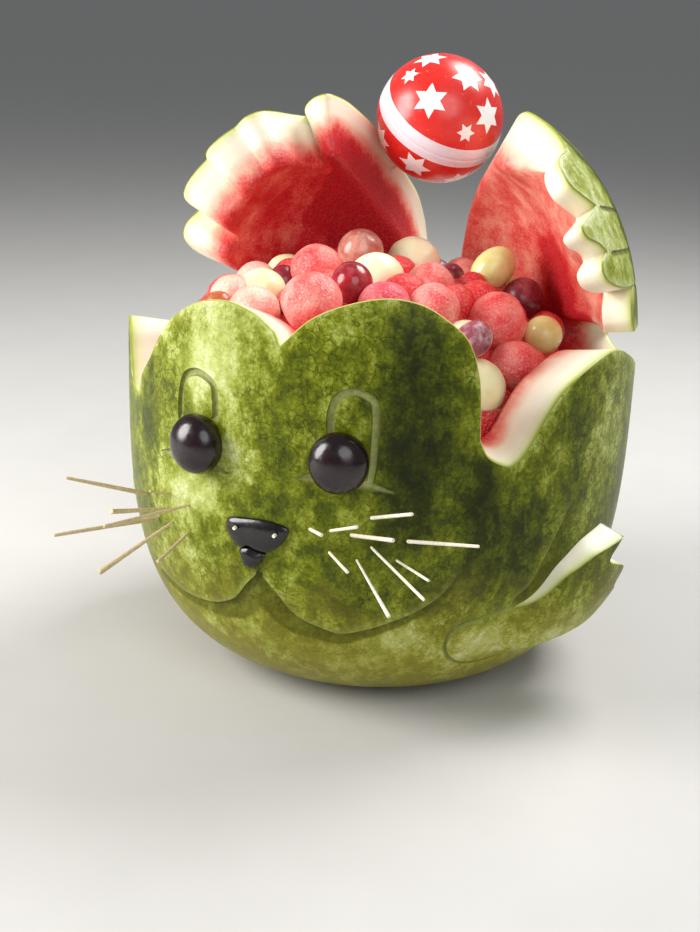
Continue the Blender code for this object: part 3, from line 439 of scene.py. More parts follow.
def sides_of(points, closed):
    """Unit vectors to the left of a run over the melon, at each of its points."""
    before = np.roll(points, 1, axis=0)
    after = np.roll(points, -1, axis=0)
    if not closed:
        before[0] = points[0]
        after[-1] = points[-1]
    ahead = after - points
    behind = points - before
    ahead /= np.maximum(np.linalg.norm(ahead, axis=1, keepdims=True), 1e-9)
    behind /= np.maximum(np.linalg.norm(behind, axis=1, keepdims=True), 1e-9)
    side = np.cross(points - HEART, ahead + behind)
    return side / np.linalg.norm(side, axis=1, keepdims=True)


def aside(spots, distance, closed=False):
    """Run of spots moved sideways by a distance in mm, to the left of its run if positive."""
    points = points_at(spots)
    shift = np.broadcast_to(np.asarray(distance) * MM, len(points))
    return spots_of(points + sides_of(points, closed) * shift[:, None])


# ---- curves ----
def smooth(points, steps, last=False):
    """Catmull-Rom curve through the points, with or without its last one."""
    points = np.asarray(points, float)
    padded = np.vstack((points[:1], points, points[-1:]))
    t = np.linspace(0, 1, steps, endpoint=False)[:, None]
    pieces = []
    for i in range(len(points) - 1):
        a, b, c, d = padded[i:i + 4]
        pieces.append(0.5 * (2 * b + (c - a) * t + (2 * a - 5 * b + 4 * c - d) * t * t
                             + (3 * b - a - 3 * c + d) * t ** 3))
    if last:
        pieces.append(points[-1:])
    return np.vstack(pieces)


def evenly(spots, spacing):
    """The same run of spots with points a spacing apart."""
    points = points_at(spots)
    along = np.append(0, np.cumsum(np.linalg.norm(np.diff(points, axis=0), axis=1)))
    count = max(2, round(along[-1] / spacing) + 1)
    wanted = np.linspace(0, along[-1], count)
    return np.column_stack((np.interp(wanted, along, spots[:, 0]),
                            np.interp(wanted, along, spots[:, 1])))


def stretched(values, count):
    """The values of a list spread evenly over count points."""
    values = np.atleast_1d(np.asarray(values, float))
    return np.interp(np.linspace(0, 1, count), np.linspace(0, 1, len(values)), values)


def even_out(values):
    """Values along the rim averaged with their neighbours."""
    for _ in range(2 * RIM_STEPS):
        values = (np.roll(values, 1) + 2 * values + np.roll(values, -1)) / 4
    return values


def ease(values):
    """0 up to 0, 1 from 1 on, and a soft rise between."""
    values = np.clip(values, 0, 1)
    return values * values * (3 - 2 * values)


def rim():
    """The cut rim: its spots, and for each how far its inner edge lies back, the wall's thickness,
    and how early its flesh turns red."""
    spots = []
    leans = []
    walls = []
    ripeness = []

    def run(places, lean=LEAN_PLAIN, wall=WALL, ripe=1.0):
        curve = smooth(places, RIM_STEPS)
        spots.append(spots_at(curve))
        leans.append(stretched(lean, len(curve)))
        walls.append(stretched(wall, len(curve)))
        ripeness.append(stretched(ripe, len(curve)))

    run(LEFT_LOBE)
    run(LEFT_VALLEY)
    run(LEFT_SHOULDER, LEAN_SHOULDER, ripe=RIPE_SHOULDERS[0])
    run(LEFT_SLIT, LEAN_SLIT, SLIT_WALLS, RIPE_SLIT)
    for lobe, wall in zip(LEFT_FLUKE_LOBES, LOBE_WALLS):
        run(lobe, wall=wall)
    run(LEFT_FLUKE_TOP, wall=TOP_WALLS, ripe=RIPE_TOP)
    run(TAIL_GAP)
    run(RIGHT_FLUKE_TOP, LEAN_TAIL, ripe=RIPE_TAIL)
    for lobe in RIGHT_FLUKE_LOBES:
        run(lobe)
    run(RIGHT_SLIT)
    run(RIGHT_SHOULDER, ripe=RIPE_SHOULDERS[1])
    run(RIGHT_VALLEY)
    run(RIGHT_LOBE)
    return (np.vstack(spots),
            *(even_out(np.concatenate(values)) for values in (leans, walls, ripeness)))


# ---- charted sheets ----
def inside(flat, loop):
    """For each point of the chart, whether it lies inside a closed loop."""
    found = np.zeros(len(flat), bool)
    x, y = flat[:, 0], flat[:, 1]
    for (ax, ay), (bx, by) in zip(loop, np.roll(loop, -1, axis=0)):
        if ay == by:
            continue
        crossed = (ay > y) != (by > y)
        found ^= crossed & (x < (bx - ax) * (y - ay) / (by - ay) + ax)
    return found


def spread_spots(step, depth):
    """Spots spread evenly over the melon, ring by ring from the blossom end."""
    radius = GIRTH_RADIUS - depth * MM
    rings = round(math.pi * radius / step)
    spots = []
    for ring in range(1, rings):
        tilt = -math.pi / 2 + math.pi * ring / rings
        count = max(5, round(2 * math.pi * radius * math.cos(tilt) / step))
        turns = 2 * math.pi * (np.arange(count) + ring % 2 / 2) / count
        spots.append(np.column_stack((turns, np.full(count, tilt))))
    return np.vstack(spots)


def tree_of(points):
    tree = KDTree(len(points))
    for index, point in enumerate(points):
        tree.insert(point, index)
    tree.balance()
    return tree


def nearest(points, tree):
    """For each point the number of the nearest one in the tree, and the distance to it."""
    found = [tree.find(point) for point in points]
    return np.array([item[1] for item in found]), np.array([item[2] for item in found])


def run_edges(runs, closed):
    """Pairs of neighbours along runs whose points are numbered one run after another."""
    edges = []
    start = 0
    for run, closes in zip(runs, closed):
        count = len(run)
        pairs = count if closes else count - 1
        edges += [(start + i, start + (i + 1) % count) for i in range(pairs)]
        start += count
    return edges


def triangulated(flat, edges):
    """Points of a chart joined to triangles that follow the edges, and which points each was."""
    spots = [Vector(spot) for spot in flat]
    flat, _, faces, sources, _, _ = delaunay_2d_cdt(spots, edges, [], 0, SAME_POINT)
    return np.array([tuple(spot) for spot in flat]), np.array(faces), sources


def sheet(loop, lines, step, depth):
    """Triangles over the part of the melon inside a loop that follow the lines.

    Each line is a run of spots and whether it closes.  Returns the spots, the triangles, the
    loop's numbers among the spots, and for every spot the number of its line, or a negative one.
    """
    runs = [loop] + [line for line, _ in lines]
    closed = [True] + [closes for _, closes in lines]
    edges = run_edges(runs, closed)
    fixed = np.vstack(runs)
    owner = np.repeat(np.arange(len(runs)) - 1, [len(run) for run in runs])
    owner[:len(loop)] = -2
    bounds = chart(loop)
    free = spread_spots(step, depth)
    _, away = nearest(points_at(free, depth), tree_of(points_at(fixed, depth)))
    free = free[away > 0.6 * step]
    free = free[inside(chart(free), bounds)]
    flat, faces, sources = triangulated(chart(np.vstack((fixed, free))), edges)
    line_of = np.full(len(flat), -1)
    renamed = {}
    for index, source in enumerate(sources):
        for number in source:
            renamed[number] = index
            if number < len(owner):
                line_of[index] = owner[number]
    kept = inside(flat[faces].mean(axis=1), bounds)
    return from_chart(flat), faces[kept], [renamed[i] for i in range(len(loop))], line_of


# ---- the skin's relief ----
def fin_outline(side, back):
    """Spots of a fin's outline; side is 1 on the seal's left, -1 on its right."""
    top = smooth(FIN_TOP, 5, last=True)
    tips = smooth(FIN_TIPS, 3, last=True)
    belly = smooth(FIN_BELLY + FIN_TOP[:1], 4)
    spots = spots_at(np.vstack((top, tips, belly)))
    spots[:, 0] = side * (spots[:, 0] + math.radians(back))
    return spots


def fin_flare(turn, height, side, back):
    """How far a fin stands out of the skin."""
    along = side * np.degrees(turn) - back
    share = np.clip((FIN_TIP_TURN - along) / (FIN_TIP_TURN - FIN_ROOT_TURN), 0, 1)
    lift = np.clip((height - FIN_LOW) / (FIN_FULL - FIN_LOW), 0, 1)
    return FIN_FLARE * (1 - share ** FIN_CURVE) * (FIN_LOW_SHARE + (1 - FIN_LOW_SHARE) * lift)


def wrapped(turn):
    """The same turns between -pi and pi."""
    return (np.asarray(turn) + math.pi) % (2 * math.pi) - math.pi


def flared(spots, side, back):
    """A fin's skin: the melon's skin moved level outwards and a little down."""
    turn = wrapped(spots[:, 0])
    points = points_at(spots)
    out = fin_flare(turn, points[:, 2], side, back)
    way = np.column_stack((np.sin(turn), -np.cos(turn), np.full(len(turn), -FIN_DROP)))
    return points + way * out[:, None], out


def carving_run(carving):
    """A carving's spots, and how its offsets and depths stretch along it."""
    spots = evenly(spots_at(smooth(carving["run"], 12, last=True)), CARVED_SPACING)
    wide = carving.get("wide", 1)
    stretches = wide, carving.get("right", wide), carving.get("deep", 1)
    return spots, *(stretched(values, len(spots)) for values in stretches)


def carving_lines():
    """Runs that the skin's triangles follow along every carving."""
    lines = []
    for carving in CARVINGS:
        spots, left, right, _ = carving_run(carving)
        for offset, _, _ in carving["profile"]:
            stretch = left if offset > 0 else right
            lines.append((aside(spots, offset * stretch), False))
    return lines


def carved_by(carving, points):
    """The points near a carving, how deep it goes at each and how pale it is there."""
    spots, left, right, deep = carving_run(carving)
    path = points_at(spots)
    side = sides_of(path, False)
    offsets, depths, pales = zip(*sorted(carving["profile"]))
    reach = max(abs(offsets[0]) * right.max(), offsets[-1] * left.max()) * MM + CARVED_MARGIN
    near = np.where((points > path.min(axis=0) - reach).all(axis=1)
                    & (points < path.max(axis=0) + reach).all(axis=1))[0]
    closest, _ = nearest(points[near], tree_of(path))
    lever = points[near] - path[closest]
    sideways = (lever * side[closest]).sum(axis=1, keepdims=True)
    onward = np.linalg.norm(lever - side[closest] * sideways, axis=1)
    at_end = (closest == 0) | (closest == len(path) - 1)
    beyond = (onward > 0.8 * CARVED_SPACING) & at_end
    offset = sideways[:, 0] / MM
    offset = offset / np.where(offset > 0, left[closest], right[closest])
    depth = np.interp(offset, offsets, depths, 0, 0) * deep[closest]
    pale = np.interp(offset, offsets, pales, 0, 0) * np.minimum(deep[closest] * 2, 1)
    return near, np.where(beyond, 0, depth), np.where(beyond, 0, pale)


def carved_depths(points):
    """How deep the skin is carved at each point, in mm, and how pale the cut is there."""
    uncarved = np.zeros(len(points))
    left_over = np.ones(len(points))
    paleness = np.zeros(len(points))
    for carving in CARVINGS:
        near, depth, pale = carved_by(carving, points)
        most = CROSSING * max(depth_at for _, depth_at, _ in carving["profile"])
        paleness[near] = np.maximum(paleness[near], pale)
        left_over[near] *= 1 - np.clip(depth / most, 0, 1)
        uncarved[near] = np.maximum(uncarved[near], np.where(depth > 0, most, 0))
    return uncarved * (1 - left_over), paleness


def foot_ring():
    """Spots of the edge of the flat cut under the melon."""
    radius = GIRTH_RADIUS * (1 - (WIDEST / BELOW) ** BLUNT_BELOW) ** (1 / BLUNT_BELOW)
    turns = np.arange(FOOT_POINTS) * 2 * math.pi / FOOT_POINTS
    return np.column_stack((turns, np.full(FOOT_POINTS, math.atan2(-WIDEST, radius))))


def rind_tones(spots, points):
    """How light the rind is at each spot, 0 to 1: its pattern, with the painted light and shade of
    some patches.
    """
    turn = np.degrees(wrapped(spots[:, 0]))
    height = points[:, 2] / MM
    tone = np.full(len(spots), PLAIN_TONE)
    # some of these patches paint light and shade onto the rind
    for at_turn, at_height, wide, tall, amount in PATCHES_AND_PAINTED_LIGHT:
        across = (turn - at_turn) * math.radians(1) * GIRTH_RADIUS / MM / wide
        up = (height - at_height) / tall
        tone += amount * np.exp(-(across ** 2 + up ** 2) / PATCH_SPREAD)
    bend = STRIPE_BEND * np.sin(height / STRIPE_WAVE)
    stripe = STRIPE_TONE + STRIPE_SWING * np.sin(np.radians(turn) * STRIPES + bend)
    first, last = PATCHED_TURNS
    share = ease((first - turn) / PATCHED_FADE) + ease((turn - last) / PATCHED_FADE)
    return tone * (1 - share) + stripe * share


# ---- meshes ----
def linked(name, data):
    """A new object of the scene."""
    made = bpy.data.objects.new(name, data)
    bpy.context.scene.collection.objects.link(made)
    return made


def new_piece(name, points, faces, finishes, replaced, sharp=40):
    """A mesh object that rides on the part; edges sharper than an angle in degrees stay so."""
    mesh = bpy.data.meshes.new(name)
    mesh.from_pydata(np.asarray(points).tolist(), [], faces)
    for finish in finishes:
        mesh.materials.append(finish)
    mesh.shade_smooth()
    if sharp:
        mesh.set_sharp_from_angle(angle=math.radians(sharp))
    piece = linked(name, mesh)
    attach(piece, "root")
    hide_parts(*replaced)
    return piece


def set_finishes(piece, numbers):
    """Which of a piece's finishes each of its faces has."""
    piece.data.polygons.foreach_set("material_index", np.asarray(numbers, dtype=np.int32))


def add_values(piece, name, values):
    """A number for every point of a piece, for its material to read."""
    layer = piece.data.attributes.new(name, "FLOAT", "POINT")
    layer.data.foreach_set("value", np.asarray(values, dtype=np.float32))


def ring_faces(rings, sides):
    """Faces round a stack of rings with as many points each, and one over either end."""
    faces = [tuple(range(sides))[::-1]]
    for row in range(rings - 1):
        for i in range(sides):
            j = (i + 1) % sides
            faces.append((row * sides + i, row * sides + j, (row + 1) * sides + j,
                          (row + 1) * sides + i))
    faces.append(tuple(range((rings - 1) * sides, rings * sides)))
    return faces


def wobble(points, size, seed):
    """Soft noise of about -1 to 1 at each point, its lumps a size in mm apart."""
    shift = Vector((seed * 3.7, seed * 1.3, seed * 2.1))
    return np.array([noise.noise(Vector(point) / (size * MM) + shift) for point in points])


def relaxed(values, faces, fixed, passes):
    """Values averaged over a mesh's edges, the fixed ones kept."""
    values = values.copy()
    pairs = np.vstack((faces[:, [0, 1]], faces[:, [1, 2]], faces[:, [2, 0]]))
    for _ in range(passes):
        total = np.zeros(len(values))
        count = np.zeros(len(values))
        np.add.at(total, pairs[:, 0], values[pairs[:, 1]])
        np.add.at(total, pairs[:, 1], values[pairs[:, 0]])
        np.add.at(count, pairs.ravel(), 1)
        free = (count > 0) & ~fixed
        values[free] = 0.5 * values[free] + 0.5 * total[free] / count[free]
    return values


def outward(points, faces, away=1):
    """Triangles turned so that they face away from the heart, or to it with away -1."""
    corners = points[faces]
    normals = np.cross(corners[:, 1] - corners[:, 0], corners[:, 2] - corners[:, 0])
    facing = (normals * (corners.mean(axis=1) - HEART)).sum(axis=1) * away
    turned = faces.copy()
    turned[facing < 0] = faces[facing < 0][:, ::-1]
    return turned


def make_skin(outline):
    """The skin inside the rim: points, triangles, the rim's numbers among the points, the finish
    of every triangle, and what the finishes read at every point."""
    fins = []
    lines = []
    for side, back in FINS:
        edge = fin_outline(side, back)
        top = aside(edge, -FIN_WALL / MM * side, closed=True)
        lines += [(edge, True), (top, True)]
        fins.append((edge, top, side, back))
    lines.append((foot_ring(), True))
    lines += carving_lines()
    trimmed = aside(outline, -TRIM, closed=True)
    spots, faces, rim_ids, line_of = sheet(trimmed, lines, SKIN_STEP, 0)
    skin = points_at(spots)
    _, to_rim = nearest(skin, tree_of(points_at(trimmed)))
    tones = rind_tones(spots, skin) + RIM_GLOW * np.exp(-to_rim / RIM_GLOW_REACH)
    carved, paleness = carved_depths(skin)
    carved *= ease(to_rim / CARVED_FADE)
    skin = points_at(spots, carved)

    depth = np.zeros(len(skin))
    finish = np.full(len(faces), RIND)
    flat = chart(spots)
    middles = flat[faces].mean(axis=1)
    for number, (edge, top, side, back) in enumerate(fins):
        root = line_of == 2 * number
        raised = inside(flat, chart(top)) | (line_of == 2 * number + 1)
        points, out = flared(spots, side, back)
        raised &= ~root & (out > 1e-5)
        skin[raised] = points[raised]
        depth[root] = out[root] / MM
        finish[inside(middles, chart(edge)) & ~inside(middles, chart(top))] = FLESH
    # the flat cut under the melon
    under = skin[:, 2] < 0
    depth[under] = -skin[under, 2] / MM
    skin[under, 2] = 0
    finish[(skin[faces][:, :, 2] < 1e-5).all(axis=1)] = FLESH
    looks = {"depth": depth, "carved": carved, "pale": paleness, "tone": tones}
    return skin, outward(skin, faces), rim_ids, finish, looks


def wall_rows(outline, leans, walls):
    """Rows round the wall's cut face, from the skin's edge to the rounding of its inner edge: how
    far each leans back and how deep it lies.  Also where the hollow begins, as spots."""
    radii = np.interp(walls, (THIN_WALL, THICK_WALL), (ROUND_THIN, ROUND_THICK))
    rows = [(leans * share, (walls - radii) * share) for share in WALL_ROWS]
    for angle in np.radians(ROUND_ANGLES):
        back = leans + radii * (1 - math.cos(angle))
        rows.append((back, walls - radii + radii * math.sin(angle)))
    return rows, aside(outline, -(leans + radii), closed=True)


def flesh_depths(spots, hollow, thickness, away, wall, ripeness):
    """How deep in the melon the flesh of the hollow looks at each point, in mm, with painted light
    on the left fluke's inner face except where it is in shade.
    """
    value = thickness * ripeness + RIPENING * ease(away / (RIPE_REACH * MM)) - SHY
    thinned = np.clip((LOBE_THICK - wall) / LOBE_FADE, 0, 1)
    further = ease((away - 20 * MM) / (40 * MM))
    value = np.maximum(value, LOBE_FLESH * thinned + LOBE_RIPENING * further)
    turn = np.degrees(spots[:, 0]) % 360
    height = hollow[:, 2] / MM
    # the salmon of the left fluke's inner face is partly painted light, left off in the deep red
    # patch where that face is in shade
    first, last = SALMON_TURNS
    salmon = ease((turn - first) / 10) * ease((last - turn) / 6) * ease((height - SALMON_FROM) / 20)
    shaded_red = np.exp(-((turn - SHADED_RED_TURN) / SHADED_RED_WIDTH) ** 2)
    salmon *= 1 - shaded_red * ease((SHADED_RED_TOP - height) / 36)
    value += (SALMON + SALMON_CLOUDS * wobble(hollow, 14, 5) - value) * salmon
    first, low = MOTTLED_FROM
    mottled = MOTTLED_SHARE * ease((turn - first) / 30) * ease((height - low) / 15) * (value > 24)
    value += (MOTTLED + MOTTLED_CLOUDS * wobble(hollow, 8, 6) - value) * mottled
    return value


def make_hollow(inner, walls, ripeness):
    """The scooped hollow: points, triangles, the rim's numbers, how deep the flesh looks."""
    spots, faces, rim_ids, _ = sheet(inner, [], CAVITY_STEP, WALL)
    closest, away = nearest(points_at(spots, 20.0), tree_of(points_at(inner, 20.0)))
    wall = walls[closest]
    thickness = wall + (WALL - wall) * ease(away / (THIN_REACH * MM))
    on_rim = np.zeros(len(spots), bool)
    on_rim[rim_ids] = True
    thickness[rim_ids] = walls
    thickness = relaxed(thickness, faces, on_rim, 6)
    hollow = points_at(spots, thickness)
    # the scoop's marks fade towards the rim
    uneven = wobble(hollow, 16, 1) * 0.7 + wobble(hollow, 5, 2) * 0.2
    hollow = points_at(spots, thickness + uneven * ease(away / (6 * MM)))
    value = flesh_depths(spots, hollow, thickness, away, wall, ripeness[closest])
    value[rim_ids] = np.where(walls < LOBE_RIM_WALL, LOBE_RIM, walls * ripeness - SHY)
    return hollow, outward(hollow, faces, -1), rim_ids, value


def make_melon(rind, flesh):
    """The skin, the wall's cut face and the hollow in one closed mesh."""
    outline, leans, walls, ripeness = rim()
    skin, faces, rim_ids, finish, looks = make_skin(outline)
    rows, inner = wall_rows(outline, leans, walls)
    hollow, hollow_faces, hollow_ids, value = make_hollow(inner, walls, ripeness)
    wall = [points_at(aside(outline, -back, closed=True), row) for back, row in rows]
    points = np.vstack([skin] + wall + [hollow])

    # strips join the skin's rim, the rows of the wall and the hollow's rim
    count = len(outline)
    starts = [len(skin) + count * number for number in range(len(rows) + 1)]
    ids = [np.array(rim_ids)] + [np.arange(start, start + count) for start in starts[:-1]]
    ids.append(starts[-1] + np.array(hollow_ids))
    strips = np.vstack([np.column_stack((above, below, np.roll(below, -1), np.roll(above, -1)))
                        for above, below in zip(ids, ids[1:])])
    # one test tells which way round the strips go
    sample = points[strips[:, :3]]
    normals = np.cross(sample[:, 1] - sample[:, 0], sample[:, 2] - sample[:, 0])
    side = sides_of(points[ids[0]], True)
    if (normals[:count] * side).sum() < 0:
        strips = strips[:, ::-1]

    all_faces = faces.tolist() + strips.tolist() + (hollow_faces + starts[-1]).tolist()
    piece = new_piece("melon", points, all_faces, [rind, flesh], ["melon_shell"])
    within = len(strips) + len(hollow_faces)
    set_finishes(piece, np.concatenate((finish, np.full(within, FLESH))))
    others = {"depth": np.concatenate([row * ripeness for _, row in rows] + [value]),
              "carved": 0, "pale": 0, "tone": PLAIN_TONE}
    for name, values in looks.items():
        rest = np.broadcast_to(others[name], len(points) - len(skin))
        add_values(piece, name, np.concatenate((values, rest)))


# ---- materials ----
class Finish:
    """A material under construction: its nodes, made one after another."""

    def __init__(self, name, roughness):
        self.material = bpy.data.materials.new(name)
        self.material.use_nodes = True
        self.tree = self.material.node_tree
        self.shader = self.tree.nodes["Principled BSDF"]
        self.shader.inputs["Roughness"].default_value = roughness
        self.place = self.node("ShaderNodeTexCoord").outputs["Object"]

    def node(self, kind, inputs=(), **settings):
        made = self.tree.nodes.new(kind)
        for key, value in settings.items():
            setattr(made, key, value)
        for key, value in dict(inputs).items():
            self.feed(made.inputs[key], value)
        return made

    def feed(self, socket, value):
        """Links an output to a socket, or sets the socket; a colour comes without its alpha."""
        if isinstance(value, bpy.types.NodeSocket):
            self.tree.links.new(value, socket)
        else:
            socket.default_value = (*value, 1) if socket.type == "RGBA" else value

    def plus(self, a, b):
        return self.node("ShaderNodeMath", {0: a, 1: b}, operation="ADD").outputs[0]

    def times(self, a, b):
        return self.node("ShaderNodeMath", {0: a, 1: b}, operation="MULTIPLY").outputs[0]

    def value(self, name):
        """A number that add_values gave to the points."""
        return self.node("ShaderNodeAttribute", attribute_name=name).outputs["Fac"]

    def squeezed(self, x, y, z):
        """Coordinates scaled along each axis, so that a pattern stretches."""
        return self.node("ShaderNodeMapping", {"Vector": self.place, "Scale": (x, y, z)}).outputs[0]

    def noise(self, size, detail=3.0, rough=0.5, vector=None):
        """Noise of about 0 to 1 with lumps of a size in mm."""
        return self.node("ShaderNodeTexNoise", {
            "Vector": vector or self.place, "Scale": 1000.0 / size, "Detail": detail,
            "Roughness": rough}).outputs["Fac"]

    def cells(self, size, feature="F1", vector=None):
        """Distances in a pattern of cells of a size in mm."""
        return self.node("ShaderNodeTexVoronoi", {
            "Vector": vector or self.place, "Scale": 1000.0 / size},
            feature=feature).outputs["Distance"]

    def bent(self, vector, size, amount):
        """Coordinates bent by noise, by an amount in mm."""
        made = self.node("ShaderNodeTexNoise", {"Vector": self.place, "Scale": 1000.0 / size})
        shift = made.outputs["Color"]
        for operation, inputs in (("SUBTRACT", {1: (0.5, 0.5, 0.5)}),
                                  ("SCALE", {"Scale": amount * MM * 2}), ("ADD", {1: vector})):
            shift = self.node("ShaderNodeVectorMath", {0: shift, **inputs},
                              operation=operation).outputs[0]
        return shift

    def fit(self, value, low, high, to_low=0.0, to_high=1.0):
        """The range from low to high stretched to another one, and cut off at its ends."""
        return self.node("ShaderNodeMapRange", {
            "Value": value, "From Min": low, "From Max": high, "To Min": to_low,
            "To Max": to_high}).outputs["Result"]

    def ramp(self, value, stops):
        """Colours that blend from one stop to the next."""
        made = self.node("ShaderNodeValToRGB", {"Fac": value})
        points = made.color_ramp.elements
        for place, _ in stops[1:-1]:
            points.new(place)
        for point, (place, colour) in zip(points, stops):
            point.position = place
            point.color = (*colour, 1)
        return made.outputs["Color"]

    def mix(self, factor, a, b):
        """Two colours mixed; the node's colour sockets are its inputs 6 and 7."""
        return self.node("ShaderNodeMix", {0: factor, 6: a, 7: b}, data_type="RGBA").outputs[2]

    def colour(self, value):
        self.feed(self.shader.inputs["Base Color"], value)

    def roughness(self, value):
        self.feed(self.shader.inputs["Roughness"], value)

    def bumps(self, height, depth, strength):
        """Bumps from a height of 0 to 1 that stands for a depth in mm."""
        made = self.node("ShaderNodeBump", {
            "Height": height, "Distance": depth * MM, "Strength": strength})
        self.feed(self.shader.inputs["Normal"], made.outputs[0])

    def glow_through(self, weight, reach, scale):
        """Light scattered under the surface: colour of its reach, and its scale in mm."""
        self.shader.inputs["Subsurface Weight"].default_value = weight
        self.shader.inputs["Subsurface Radius"].default_value = reach
        self.shader.inputs["Subsurface Scale"].default_value = scale * MM


def rind_finish():
    """Green rind: mottles and veins round the tone of each place, and the carved peel."""
    made = Finish("rind_skin", 0.36)
    tall = made.squeezed(1, 1, 0.75)
    warped = made.bent(tall, 7, 2.0)
    # the tone carries the rind's pattern and the painted light and shade of some patches
    tone = made.value("tone")
    large = made.noise(15, 3, 0.55, warped)
    middle = made.noise(6, 5, 0.62, warped)
    small = made.noise(1.5, 5, 0.68)
    mottles = made.plus(made.fit(large, 0.32, 0.68, -0.13, 0.13),
                        made.fit(middle, 0.42, 0.58, -0.1, 0.1))
    mottles = made.plus(mottles, made.fit(small, 0.36, 0.64, -0.09, 0.09))
    # calmer where the rind is pale
    calm = made.fit(tone, 0.62, 0.9, 1.0, 0.45)
    level = made.plus(tone, made.times(mottles, calm))
    colour = made.ramp(level, [
        (0.0, (0.014, 0.02, 0.004)), (0.2, (0.034, 0.043, 0.003)), (0.4, (0.082, 0.103, 0.005)),
        (0.56, (0.16, 0.186, 0.007)), (0.7, (0.285, 0.325, 0.045)), (0.85, (0.48, 0.53, 0.17)),
        (1.0, (0.72, 0.77, 0.50))])
    # dark veins, here and there and fainter where the rind is pale
    veins = made.cells(5.0, "DISTANCE_TO_EDGE", made.bent(made.place, 4, 1.6))
    line = made.fit(veins, 0.0, 0.045, 1.0, 0.0)
    shown = made.times(made.fit(made.noise(20, 2), 0.36, 0.62, 0.35, 0.85),
                       made.fit(tone, 0.55, 0.85, 1.0, 0.3))
    colour = made.mix(made.times(line, shown), colour, (0.018, 0.028, 0.002))
    # yellow towards the foot, with an uneven edge; heights in m
    height = made.node("ShaderNodeSeparateXYZ", {0: made.place}).outputs["Z"]
    low = made.fit(made.plus(height, made.fit(large, 0.3, 0.7, -0.012, 0.012)),
                   0.075, 0.018, 0.0, 0.42)
    colour = made.mix(low, colour, (0.42, 0.34, 0.05))
    # the peel that the carving cuts into, and its palest parts
    cut = made.value("carved")
    fibres = made.fit(made.noise(2.2, 4, 0.65), 0.35, 0.65)
    fresh = made.mix(fibres, (0.045, 0.048, 0.002), (0.10, 0.102, 0.006))
    colour = made.mix(made.fit(cut, 0.02, 0.3, 0.0, 0.7), colour, fresh)
    pale = made.mix(fibres, (0.24, 0.265, 0.07), (0.38, 0.405, 0.15))
    colour = made.mix(made.times(made.value("pale"), 0.9), colour, pale)
    made.colour(colour)
    made.bumps(made.plus(made.times(small, 0.5), large), 0.5, 0.25)
    made.roughness(made.fit(middle, 0.3, 0.7, 0.3, 0.46))
    made.shader.inputs["Specular IOR Level"].default_value = 0.14
    return made.material


def flesh_finish():
    """White to red flesh by its depth in mm, which clouds blur where it is ripe."""
    made = Finish("melon_inside", 0.4)
    depth = made.value("depth")
    cloud = made.noise(11, 4, 0.6)
    ripe = made.fit(depth, 12, 20)
    depth = made.plus(depth, made.times(made.fit(cloud, 0.3, 0.7, -3.8, 3.8), ripe))
    colour = made.ramp(made.fit(depth, 0, 32), [
        (0.0, (0.19, 0.24, 0.01)), (0.015, (0.38, 0.43, 0.06)), (0.035, (0.60, 0.65, 0.28)),
        (0.08, (0.80, 0.80, 0.52)), (0.18, (0.89, 0.86, 0.70)), (0.40, (0.89, 0.79, 0.63)),
        (0.50, (0.86, 0.55, 0.41)), (0.60, (0.82, 0.29, 0.21)), (0.72, (0.73, 0.09, 0.07)),
        (0.84, (0.60, 0.012, 0.02)), (1.0, (0.49, 0.002, 0.012))])
    grain = made.noise(1.1, 5, 0.7)
    pale = made.times(made.fit(grain, 0.46, 0.7, 0.0, 0.6), ripe)
    fade = made.times(pale, made.fit(depth, 21, 29, 1.0, 0.25))
    made.colour(made.mix(fade, colour, (0.90, 0.50, 0.40)))
    pits = made.plus(grain, made.times(made.cells(1.3), 0.5))
    made.bumps(made.times(pits, made.fit(depth, 10, 22, 0.25, 1.0)), 0.6, 0.55)
    made.glow_through(0.3, (1.0, 0.45, 0.3), 4)
    return made.material


def red_melon_finish(name, deep, light, share):
    """Watermelon balls: red flesh with a paler cloud, and its grain."""
    made = Finish(name, 0.3)
    cloud = made.noise(13, 3, 0.55)
    colour = made.mix(made.fit(cloud, share - 0.12, share + 0.14), deep, light)
    grain = made.noise(0.95, 4, 0.72)
    colour = made.mix(made.fit(grain, 0.5, 0.72, 0.0, 0.6), colour, (0.97, 0.68, 0.6))
    colour = made.mix(made.fit(grain, 0.46, 0.3, 0.0, 0.45), colour, (0.6, 0.01, 0.02))
    made.colour(colour)
    made.bumps(made.plus(grain, made.cells(1.2)), 0.6, 0.55)
    made.glow_through(0.35, (1.0, 0.25, 0.2), 5)
    return made.material


def pale_melon_finish(name, main, shade):
    """Honeydew balls: smooth pale flesh."""
    made = Finish(name, 0.38)
    cloud = made.noise(9, 3, 0.5)
    colour = made.mix(made.fit(cloud, 0.35, 0.65), main, shade)
    grain = made.noise(1.2, 3, 0.6)
    colour = made.mix(made.fit(grain, 0.52, 0.75, 0.0, 0.25), colour, (0.97, 0.95, 0.8))
    made.colour(colour)
    made.bumps(grain, 0.35, 0.4)
    made.glow_through(0.35, (1.0, 0.8, 0.4), 5)
    return made.material


def grape_finish(name, main, shade, bloom, bloomy, roughness=0.22, reach=(1.0, 0.5, 0.3),
                 shine=0.5):
    """Grapes: a tinted skin with a dusty bloom in patches."""
    made = Finish(name, roughness)
    made.shader.inputs["Specular IOR Level"].default_value = shine
    cloud = made.noise(8, 4, 0.55)
    colour = made.mix(made.fit(cloud, 0.35, 0.65), main, shade)
    dust = made.fit(made.noise(5, 5, 0.65), 0.45, 0.68, 0.0, bloomy)
    colour = made.mix(dust, colour, bloom)
    made.colour(colour)
    made.roughness(made.fit(made.noise(3, 3), 0.35, 0.7, roughness, roughness + 0.14))
    made.bumps(made.noise(2.5, 3), 0.15, 0.3)
    made.glow_through(0.35, reach, 4)
    return made.material


